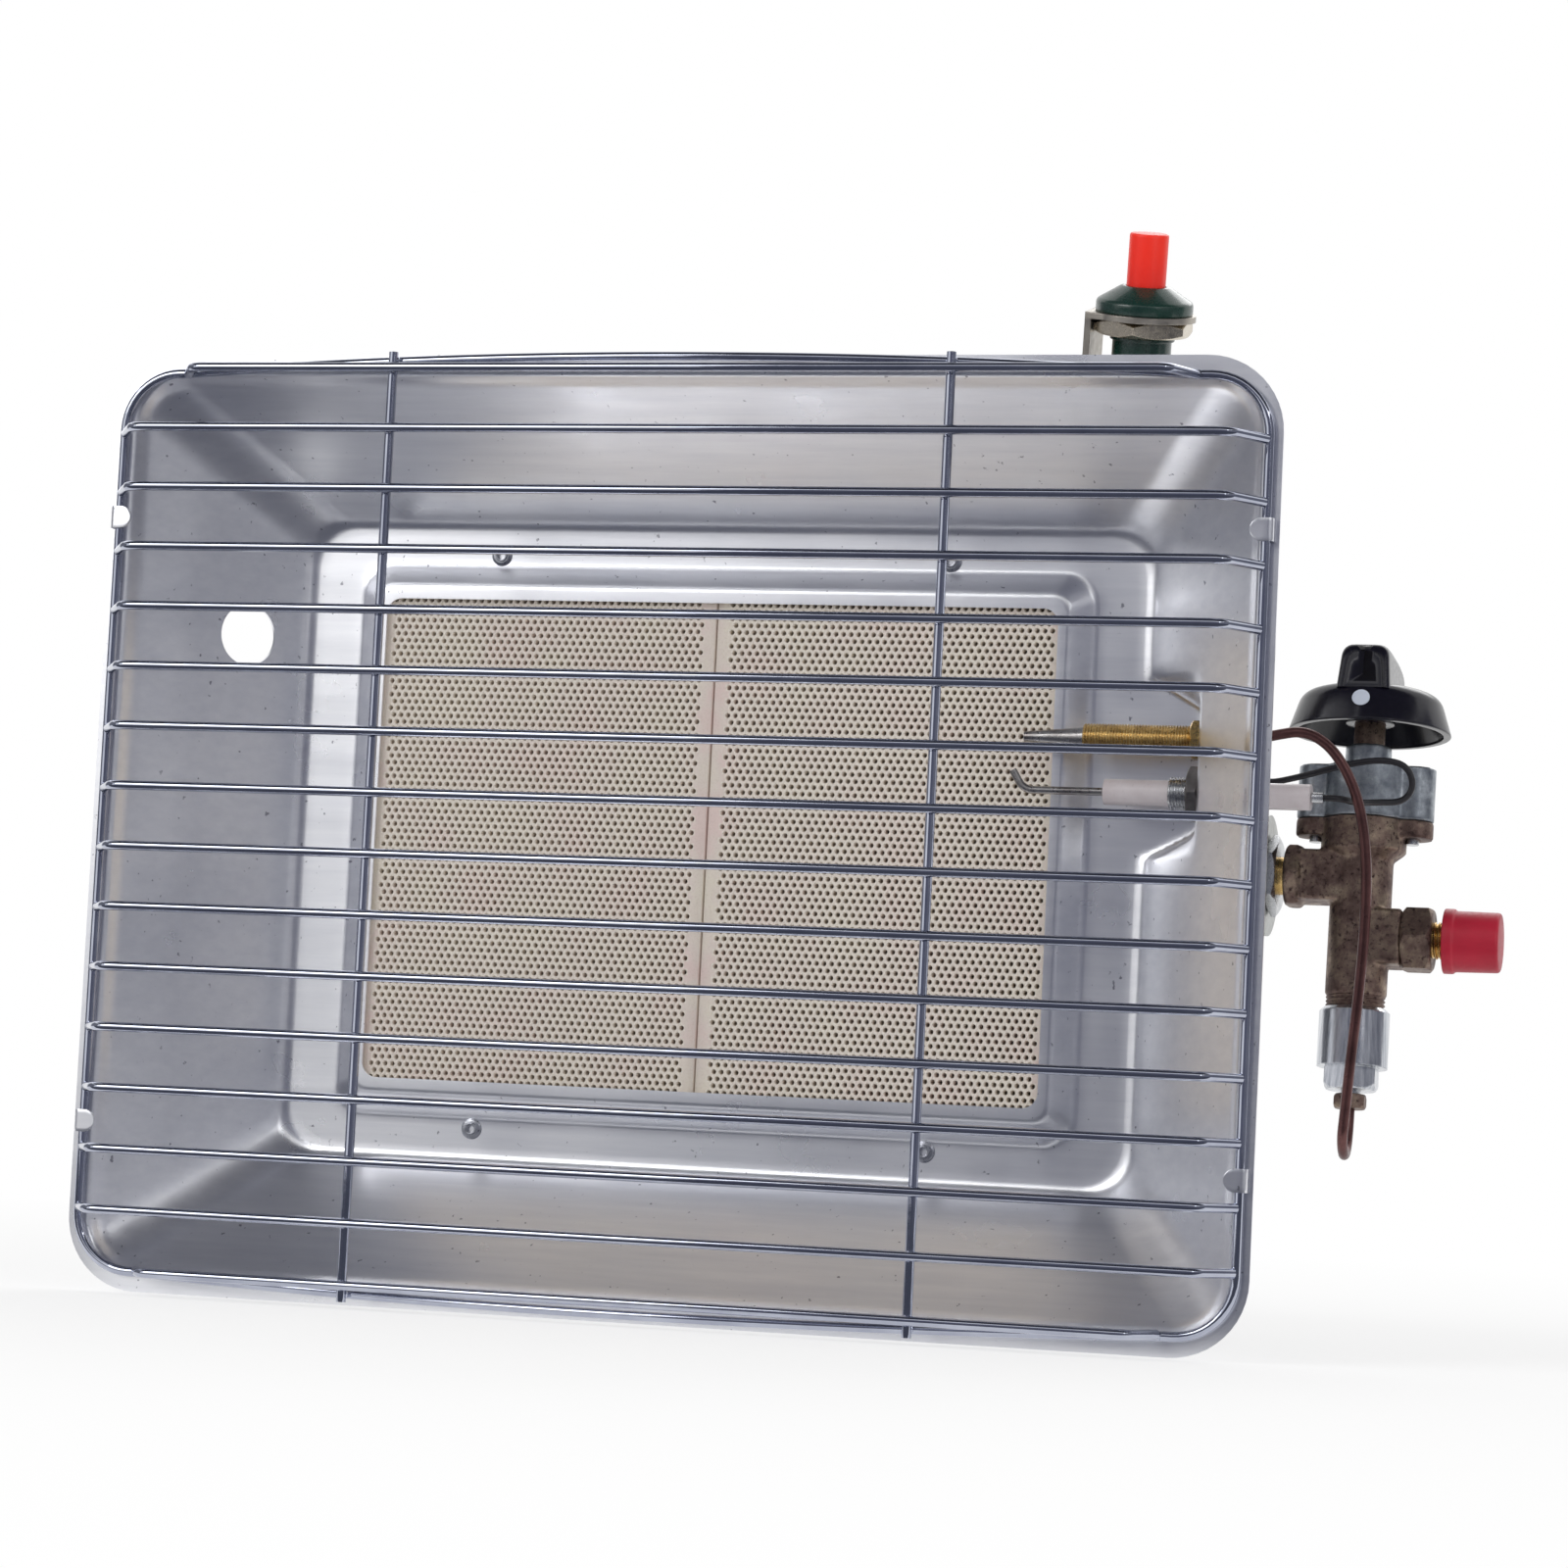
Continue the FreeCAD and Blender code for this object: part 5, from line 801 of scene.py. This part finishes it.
def guard():
    """Sixteen bent bars on two uprights, two bows and two C-shaped side wires."""
    bars = []
    for i, z in enumerate(bar_heights()):
        bend, end_x, end_y, overlap = BAR_BEND_X, SIDE_WIRE_X, RING_Y, 1.25
        if i in (0, BAR_COUNT - 1):
            bend, end_x, overlap = END_BAR_BEND_X, END_BAR_X, 0.0
            end_y = bow_y(end_x) - 2.2
        trim = Vector((end_x - bend, end_y - BAR_Y)).normalized() * overlap
        tip_x, tip_y = end_x - trim.x, end_y - trim.y
        line = [(-tip_x, tip_y, z), (-bend, BAR_Y, z), (bend, BAR_Y, z), (tip_x, tip_y, z)]
        bars.append(rounded(line, [2.8, 2.8], 8))
    levels = (-UPRIGHT_HALF, 0, UPRIGHT_HALF)
    uprights = [[(side * UPRIGHT_X, UPRIGHT_Y, z) for z in levels] for side in (-1, 1)]
    spots = [BOW_HALF * (i / 20 - 1) for i in range(41)]
    bows = [[(x, bow_y(x), end * (117.4 - 2.5 * (x / BOW_HALF) ** 2)) for x in spots] for end in (-1, 1)]
    sides = []
    for side in (-1, 1):
        upper = [(side * 131.65, RING_Y, END_WIRE_Z), (side * 132.9, RING_Y, END_WIRE_Z)]
        for i in range(13):
            a = math.radians(90 * i / 12)
            upper.append((side * (BOW_END_X + RING_CORNER_R * math.sin(a)), RING_Y,
                          END_WIRE_Z - RING_CORNER_R + RING_CORNER_R * math.cos(a)))
        sides.append(upper + [(x, y, -z) for x, y, z in reversed(upper)])
    for name, paths, *replaced in (
            ("guard_bar_wires", bars, "guard_bars"),
            ("guard_upright_wires", uprights, "guard_upright_left", "guard_upright_right"),
            ("guard_bow_wires", bows, "guard_bow_top", "guard_bow_bottom"),
            ("guard_side_wires", sides, "guard_side_left", "guard_side_right")):
        wire_piece(name, paths, WIRE_R, "guard_chrome", replaced)


def weld_bead(points, faces, at, size):
    """Adds one small squashed bead to a list of points and faces."""
    first = len(points)
    rings, around = 5, 8
    for i in range(rings + 1):
        v = math.pi * i / rings
        for j in range(around):
            a = 2 * math.pi * j / around
            points.append((at[0] + size[0] * math.sin(v) * math.cos(a), at[1] + size[1] * math.cos(v),
                           at[2] + size[2] * math.sin(v) * math.sin(a)))
    for face in grid_faces(rings + 1, around):
        faces.append(tuple(first + i for i in face))


def guard_welds():
    """Small weld beads where the bars cross the uprights and meet the side wires."""
    points, faces = [], []
    mid_y = (BAR_Y + UPRIGHT_Y) / 2
    for i, z in enumerate(bar_heights()):
        for side in (-1, 1):
            weld_bead(points, faces, (side * UPRIGHT_X, mid_y, z), (1.5, 0.9, 1.5))
            if 0 < i < BAR_COUNT - 1:
                weld_bead(points, faces, (side * (SIDE_WIRE_X - 0.6), RING_Y - 1.1, z), (0.9, 0.8, 1.5))
    for side in (-1, 1):
        for end in (-1, 1):
            at_upright = (side * UPRIGHT_X, UPRIGHT_Y + WIRE_R, end * (END_WIRE_Z + 1.7))
            weld_bead(points, faces, at_upright, (1.5, 0.9, 1.4))
            weld_bead(points, faces, (side * 131.4, RING_Y, end * END_WIRE_Z), (1.2, 1.25, 1.25))
    piece("guard_welds", points, faces, "guard_chrome", angle=180.0)


def rivets():
    """Blind rivets: a dished flange, a groove round the collar, and the deep hole left by the pin."""
    profile = [(0.9, -3.55), (0.9, 0.72), (1.08, 1.08), (1.4, 1.12), (1.62, 0.62), (1.85, 0.66), (2.35, 0.5),
               (2.72, 0.2), (2.75, 0.0), (1.6, 0.0), (1.6, -1.6), (2.3, -1.6), (2.3, -3.3), (2.05, -3.6)]
    for x in (-RIVET_X, RIVET_X):
        for z in (-RIVET_Z, RIVET_Z):
            matrix = axes((x, BOWL_DEPTH, z), (1, 0, 0), (0, 0, 1), (0, -1, 0))
            name = "rivet_" + ("right" if x > 0 else "left") + ("_high" if z > 0 else "_low")
            lathe(name, profile, "rivet_aluminium", "heater", matrix, ("reflector_rivets",), 40, loop=True)


# Knob

def knob():
    """Glossy moulded knob: hollow skirt, domed top, cross bar with a pointer groove, hub and ribs."""
    rim = KNOB_RIM
    outside = [(19.0, rim), (20.5, rim), (17.5, rim + 9.4), (11.5, rim + 11.3), (0.0, rim + 11.5)]
    inside = [(0.0, rim + 9.0), (15.2, rim + 9.0), (18.5, rim + 0.6), (18.5, rim)]
    skirt = rounded(inside, [1.6, 0.4], 4) + rounded(outside, [0.5, 2.6, 3.0], 6)[1:]
    lathe("knob_skirt", skirt, "black_plastic", "spindle", VALVE, ("knob",), 96, angle=40.0)
    grip(rim)
    hub = rounded([(3.95, rim + 2.4), (6.25, rim + 2.4), (6.25, rim + 9.5)], [0.4], 3) + [(3.95, rim + 9.5)]
    lathe("knob_hub", hub, "black_plastic", "spindle", VALVE, (), 48, loop=True)
    points, faces = [], []
    low, high, half_thick = rim + 6.4, rim + 9.2, 0.7
    for quarter in range(4):
        a = math.pi / 2 * quarter
        along, across = Vector((math.cos(a), math.sin(a), 0)), Vector((-math.sin(a), math.cos(a), 0))
        first = len(points)
        for reach in (6.0, 15.4):
            for wide, z in ((-half_thick, low), (half_thick, low), (half_thick, high), (-half_thick, high)):
                points.append(along * reach + across * wide + Vector((0, 0, z)))
        for i in range(4):
            n = (i + 1) % 4
            faces.append((first + i, first + n, first + 4 + n, first + 4 + i))
    piece("knob_ribs", points, faces, "black_plastic", "spindle", VALVE)


def grip(rim):
    """The cross bar: a rounded arch swept front to back, with softened ends and a pointer groove."""
    half_long, soft, ends = 17.3, 1.6, 7
    low, high = rim + 8.6, rim + 21.0
    start = []
    for i in range(ends):
        a = math.pi / 2 * i / (ends - 1)
        start.append((-half_long + soft * (1 - math.cos(a)), soft * (1 - math.sin(a))))
    middle = [(-half_long + soft + 2 * (half_long - soft) * i / 12, 0.0) for i in range(1, 12)]
    stations = start + middle + [(-y, inset) for y, inset in reversed(start)]
    points = []
    for y, inset in stations:
        lean = 1.5 * (abs(y) / half_long) ** 2
        arch = high - 1.4 * (abs(y) / half_long) ** 4 - inset
        wide, narrow = 6.7 - inset, 5.7 - inset
        outline = [(-wide, low), (-narrow, arch), (narrow, arch), (wide, low)]
        for x, z in rounded(outline, [3.2, 3.2], 6):
            rise = (z - low) / (high - low)
            points.append((x, y - math.copysign(lean * rise, y) if y else y, z))
    columns = len(points) // len(stations)
    faces = grid_faces(len(stations), columns, closed=False)
    last = (len(stations) - 1) * columns
    left_foot = [i * columns for i in range(len(stations))]
    right_foot = [i + columns - 1 for i in reversed(left_foot)]
    faces += [tuple(range(columns)), tuple(last + i for i in reversed(range(columns))),
              tuple(left_foot + right_foot)]
    bar = piece("knob_grip", points, faces, "black_plastic", "spindle", VALVE, angle=40.0)
    outline = [(-0.9, rim + 12.2), (0.9, rim + 12.2), (0.9, high - 1.6), (0, high - 0.9), (-0.9, high - 1.6)]
    groove = [(x, y, z) for y in (-half_long - 3.0, -half_long + 1.9) for x, z in outline]
    walls = [(i, (i + 1) % 5, 5 + (i + 1) % 5, 5 + i) for i in range(5)]
    mesh = bpy.data.meshes.new("groove")
    mesh.from_pydata([row(VALVE @ Vector(p)) for p in groove], [], [(4, 3, 2, 1, 0), (5, 6, 7, 8, 9)] + walls)
    cutter = linked("groove", mesh)
    cut = bar.modifiers.new("groove", "BOOLEAN")
    cut.operation = "DIFFERENCE"
    cut.solver = "EXACT"
    cut.object = cutter
    bpy.context.view_layer.update()
    baked(bar)
    bpy.data.objects.remove(cutter)
    smoothed(bar, 40)


# Igniter

def igniter():
    """Moulded case with its seam, and the button of the push igniter."""
    profile = [(0.0, -34.0), (7.5, -34.0), (7.5, -6.9), (8.2, -6.9), (8.2, -5.9), (7.4, -5.9), (7.4, 0.0),
               (12.3, 0.0), (12.3, 3.0), (6.2, 6.8), (5.15, 6.8), (5.15, 1.0), (0.0, 1.0)]
    lathe("igniter_case", rounded(profile, [0.9, 0, 0.3, 0.3, 0, 0, 0.4, 0.9, 0.4, 0.2, 0], 4),
          "green_plastic", "heater", IGNITER, ("igniter_body",), 72, angle=42.0)
    seam = [IGNITER @ Vector((2.6, -7.05, z)) for z in (-33.4, -7.2)]
    wire_piece("igniter_seam", [seam], 0.16, "green_plastic")
    button = [(0.0, -3.9), (4.95, -3.9), (4.95, 20.0), (0.0, 20.0)]
    lathe("button", rounded(button, [0.3, 0.7], 5), "red_plastic", "button", IGNITER, ("igniter_button",), 64)


# Probes

def probes():
    """Threaded brass sleeve of the probe and threaded bushing of the electrode."""
    points, rows, turns = thread_points(3.65, 0.36, 0.72, 0.0, 34.0)
    last = (rows - 1) * turns
    ends = [tuple(reversed(range(turns))), tuple(range(last, last + turns))]
    piece("sleeve_thread", points, grid_faces(rows, turns) + ends, "bright_brass",
          matrix=along_x(99.8, PROBE_Y, THERMO_Z), stands_for=("thermocouple_sleeve",), angle=60.0)
    bore, length = 3.3, 12.9
    points, rows, turns = thread_points(4.2, 0.42, 0.75, 0.0, length)
    first, last = len(points), (rows - 1) * turns
    for z in (0.0, length):
        for j in range(turns):
            a = 2 * math.pi * j / turns
            points.append((bore * math.cos(a), bore * math.sin(a), z))
    faces = grid_faces(rows, turns)
    for j in range(turns):
        n = (j + 1) % turns
        faces.append((first + j, first + n, n, j))
        faces.append((last + j, last + n, first + turns + n, first + turns + j))
        faces.append((first + n, first + j, first + turns + j, first + turns + n))
    piece("bushing_thread", points, faces, "plated_steel", matrix=along_x(121.9, PROBE_Y, ELECTRODE_Z),
          stands_for=("electrode_bushing",), angle=60.0)


# Valve

def valve():
    """Cast body and bonnet with melted edges, thread ridges, the threaded inlet nipple and its cap."""
    softened("valve_body", "valve_body_casting", "cast_brass", 0.42, 7)
    softened("valve_bonnet", "valve_bonnet_casting", "cast_zinc", 0.42, 5)
    points, rows, turns = thread_points(7.4, 0.45, 1.0, -33.4, -29.4, 64)
    piece("barrel_thread", points, grid_faces(rows, turns), "cast_brass", matrix=VALVE, angle=60.0)
    inlet = VALVE @ along_x(INLET_X, 0, INLET_Z)
    points, faces = hexagon(7.6, 7.6, 1.1)
    piece("inlet_hex", points, faces, "cast_brass", matrix=inlet, angle=25.0, stands_for=("inlet_fitting",))
    points, rows, turns = thread_points(4.7, 0.55, 1.1, 7.5, 22.1, 56)
    last = (rows - 1) * turns
    faces = grid_faces(rows, turns) + [tuple(range(last, last + turns))]
    piece("inlet_nipple", points, faces, "bright_brass", matrix=inlet, angle=60.0)
    cap = [(4.8, 10.3), (8.15, 10.3), (8.15, 12.8), (7.65, 13.2), (7.5, 24.3), (0.0, 24.3)]
    inner = [(0.0, 22.6), (4.8, 22.6), (4.8, 10.3)]
    lathe("dust_cap", inner + rounded(cap, [0.35, 0.5, 0.4, 0.9], 4)[1:], "crimson_vinyl", "cap", inlet,
          ("inlet_cap",), 72, angle=40.0)


def hexagon(half_flats, high, bevel):
    """Points and faces of a hexagon with both ends turned to a round bevel."""
    around = 72
    centre_r, ring_r, corner_r = 0.001, half_flats * 0.97, half_flats * 1.1547
    points, faces = [], []
    for height, sign in ((0.0, 1), (high, -1)):
        for ring in range(3):
            for j in range(around):
                a = 2 * math.pi * j / around
                flat = half_flats / math.cos(a % (math.pi / 3) - math.pi / 6)
                r = (centre_r, ring_r, flat)[ring]
                drop = bevel * (flat - ring_r) / (corner_r - ring_r) if ring == 2 else 0.0
                points.append((r * math.cos(a), r * math.sin(a), height + sign * drop))
    for first, second in ((0, 1), (1, 2), (2, 5), (5, 4), (4, 3)):
        for j in range(around):
            n = (j + 1) % around
            faces.append((first * around + n, first * around + j, second * around + j, second * around + n))
    return points, faces


def springs():
    """The two return springs as wound wire, at their pressed height inside the parts that hide them."""
    for name, node, matrix, radius, low, high, turns in (
            ("spindle_coil", "spindle_spring", VALVE, 4.45, 11.6, 19.7, 7),
            ("igniter_coil", "igniter_spring", IGNITER, 4.5, -23.5, -10.7, 8)):
        steps = turns * 24
        path = []
        for i in range(steps + 1):
            a = 2 * math.pi * turns * i / steps
            along = low + (high - low) * i / steps
            path.append(matrix @ Vector((radius * math.cos(a), radius * math.sin(a), along)))
        wire_piece(name, [path], 0.4, "plated_steel", (node,), steps=3)


# Cords

def cords():
    """Capillary and spark lead on their smooth lines."""
    turn = VALVE @ Vector((0, 0, -66.1))
    entry = VALVE @ Vector((0, 0, -56.66))
    half_gap = (turn.y - 43.0) / 2
    capillary = [(133.8, 32, 29.6), (139.4, 32, 29.6), (147, 32.4, 31.4), (154.2, 32.8, 32.8),
                 (160.4, 33.2, 29.6), (165.2, 33.8, 23), (168.6, 34.6, 14.4), (170.3, 36, 3),
                 (170.4, 38, -10), (169.6, 40, -24), (168.4, 41.6, -37), (167.2, 42.6, -49.5),
                 (166.4, 43, -60.5),
                 (165.9, 43, turn.z), (165.5, 43 + half_gap, turn.z - half_gap * math.tan(math.radians(30))),
                 turn, entry]
    tube = wire_piece("capillary", [capillary], 1.3, "copper", ("thermocouple_capillary",), free=True)
    pin = IGNITER_AT + IGNITER_AXIS * TERMINAL_HEIGHT
    lead = [(159.8, 32, 16.3), (162.4, 32, 16.3), (165, 35, 16.2), (166.8, 39.6, 15.8), (170.4, 45.2, 16.6),
            (177.2, 48.8, 17.0), (179.6, 49.6, 21.5), (177.2, 49.2, 26.8), (169.6, 47.6, 27.4),
            (160.4, 46.8, 25.2), (151.6, 47.4, 22.6), (142, 49.2, 20.6), (135.6, 51.8, 24.8),
            (130.2, 54.4, 34), (124.8, 56.6, 45.6), (118.8, 58.4, 57.4), (112.6, 60, 68.6), (107, 61.4, 80),
            pin - IGNITER_AXIS * 8, pin]
    wire = wire_piece("spark_lead", [lead], 0.8, "black_rubber", ("electrode_lead",), free=True)


# Carried-over nodes

def dress_nodes():
    """Gives the carried-over nodes the finish of their slot, and three of them another one."""
    others = {"valve_spindle": "cast_brass", "thermocouple_union_nut": "cast_brass",
              "magnet_housing": "streaked_plate"}
    for entry in frame["record"]["subparts"]:
        mesh = nodes[entry["node"]].data
        mesh.materials.clear()
        mesh.materials.append(materials[others.get(entry["node"], entry["material_slot"])])


# Stage, lamps and camera

def mixed(tree, share, first, second):
    node = add_node(tree, "MixShader")
    tree.links.new(share, node.inputs[0])
    tree.links.new(first, node.inputs[1])
    tree.links.new(second, node.inputs[2])
    return node.outputs[0]


def seen_by_eye(tree):
    """1 for camera, glossy and transmission rays, which see the white surroundings."""
    path = add_node(tree, "LightPath")
    total = path.outputs["Is Camera Ray"]
    for name in ("Is Glossy Ray", "Is Transmission Ray"):
        add = add_node(tree, "Math")
        add.operation = "MAXIMUM"
        tree.links.new(total, add.inputs[0])
        tree.links.new(path.outputs[name], add.inputs[1])
        total = add.outputs[0]
    return total


def bare_material(name):
    """A material without a shader, its node tree and the socket of its surface."""
    material = bpy.data.materials.new(name)
    material.use_nodes = True
    tree = material.node_tree
    tree.nodes.remove(tree.nodes["Principled BSDF"])
    return material, tree, tree.nodes["Material Output"].inputs["Surface"]


def board(name, corners, material):
    """A flat sheet of the stage with four corners."""
    mesh = bpy.data.meshes.new(name)
    mesh.from_pydata(corners, [], [(0, 1, 2, 3)])
    mesh.materials.append(material)
    return linked(name, mesh)


def floor():
    """Plain pale floor that fades into the white surroundings and keeps the object's shadow."""
    material, tree, surface = bare_material("pale_floor")
    plain = add_node(tree, "BsdfDiffuse", Color=(0.82, 0.82, 0.82, 1))
    kept = add_node(tree, "BsdfDiffuse", Color=(0.42, 0.42, 0.42, 1))
    glow = add_node(tree, "Emission", Strength=0.62)
    both = add_node(tree, "AddShader")
    tree.links.new(kept.outputs[0], both.inputs[0])
    tree.links.new(glow.outputs[0], both.inputs[1])
    white = add_node(tree, "Emission")
    place = add_node(tree, "TexCoord")
    distance = add_node(tree, "VectorMath")
    distance.operation = "LENGTH"
    tree.links.new(place.outputs["Object"], distance.inputs[0])
    far = spread(tree, distance.outputs["Value"], 0.0, 1.0, 0.25, 0.8)
    shown = mixed(tree, far, both.outputs[0], white.outputs[0])
    tree.links.new(mixed(tree, seen_by_eye(tree), plain.outputs[0], shown), surface)
    reach, level = 6.0, cad_low.z - 0.0004
    corners = [(-reach, -reach, level), (reach, -reach, level), (reach, reach, level), (-reach, reach, level)]
    thing = board("floor", corners, material)


def card(name, corners, shade):
    """A plain board that only reflections see, for the darker tones on bright metal."""
    material, tree, surface = bare_material(name)
    glow = add_node(tree, "Emission", Color=(*shade, 1))
    tree.links.new(glow.outputs[0], surface)
    thing = board(name, corners, material)
    thing.visible_camera = False
    thing.visible_diffuse = False
    thing.visible_shadow = False
    thing.visible_transmission = False


def cards():
    """Boards in front of the object, to its right and left, low in front and overhead."""
    front, side, back, low, high = -1.6, 1.3, 0.6, -0.3, 0.8
    left_front, ceiling_front, ceiling_back, ceiling = -0.75, -1.1, 0.15, 0.9
    front_left, floor_back, ground = -0.44, -0.12, cad_low.z
    card("front_card", [(front_left, front, low), (side, front, low), (side, front, high),
                        (front_left, front, high)], (0.15, 0.155, 0.20))
    card("right_card", [(side, front, low), (side, back, low), (side, back, high), (side, front, high)],
         (0.20, 0.205, 0.24))
    card("left_card", [(-side, left_front, low), (-side, back, low), (-side, back, high),
                       (-side, left_front, high)], (0.22, 0.225, 0.25))
    card("floor_card", [(-side, front, ground), (side, front, ground), (side, floor_back, ground),
                        (-side, floor_back, ground)], (0.09, 0.095, 0.12))
    card("ceiling_card", [(-side, ceiling_front, ceiling), (side, ceiling_front, ceiling),
                          (side, ceiling_back, ceiling), (-side, ceiling_back, ceiling)],
         (0.06, 0.062, 0.075))


def world():
    scene_world = bpy.data.worlds.new("soft_room")
    bpy.context.scene.world = scene_world
    scene_world.use_nodes = True
    tree = scene_world.node_tree
    background = tree.nodes["Background"]
    background.inputs["Color"].default_value = (1, 1, 1, 1)
    strength = spread(tree, seen_by_eye(tree), 0.55, 1.0, 0.0, 1.0)
    tree.links.new(strength, background.inputs["Strength"])


def lamp(name, at, aim, wide, high, power):
    light = bpy.data.lights.new(name, "AREA")
    light.shape = "RECTANGLE"
    light.size = wide
    light.size_y = high
    light.energy = power
    thing = linked(name, light)
    thing.location = at
    thing.rotation_mode = "QUATERNION"
    thing.rotation_quaternion = (Vector(aim) - Vector(at)).to_track_quat("-Z", "Y")


def lights():
    lamp("key", (-1.0, -1.5, 1.0), (0, -0.1, 0), 1.0, 1.0, 12.0)
    lamp("fill", (1.5, -1.2, 0.5), (0, -0.1, 0), 0.8, 1.2, 7.0)
    lamp("back", (0.3, 1.4, 1.2), (0, 0, 0), 1.2, 0.8, 6.0)


def camera():
    right = Vector((0.9616, 0.2701, 0.0487))
    forward = Vector((-0.2732, 0.9591, 0.0739)).normalized()
    right = (right - forward * right.dot(forward)).normalized()
    up = right.cross(forward)
    data = bpy.data.cameras.new("camera")
    data.sensor_width = 36.0
    data.sensor_fit = "HORIZONTAL"
    data.lens = 99.05
    data.clip_start = 0.05
    data.clip_end = 50.0
    thing = linked("camera", data)
    thing.matrix_world = axes((0.3209, -1.1044, -0.0646), right, up, -forward)
    bpy.context.scene.camera = thing


dress_nodes()
camera()
cords()
reflector()
for hand in (-1, 1):
    for level in (-TONGUE_Z, TONGUE_Z):
        tongue(hand, level)
tile(-1)
tile(1)
guard()
guard_welds()
rivets()
knob()
igniter()
probes()
valve()
springs()
floor()
cards()
world()
lights()
bpy.context.scene.view_settings.view_transform = "Standard"
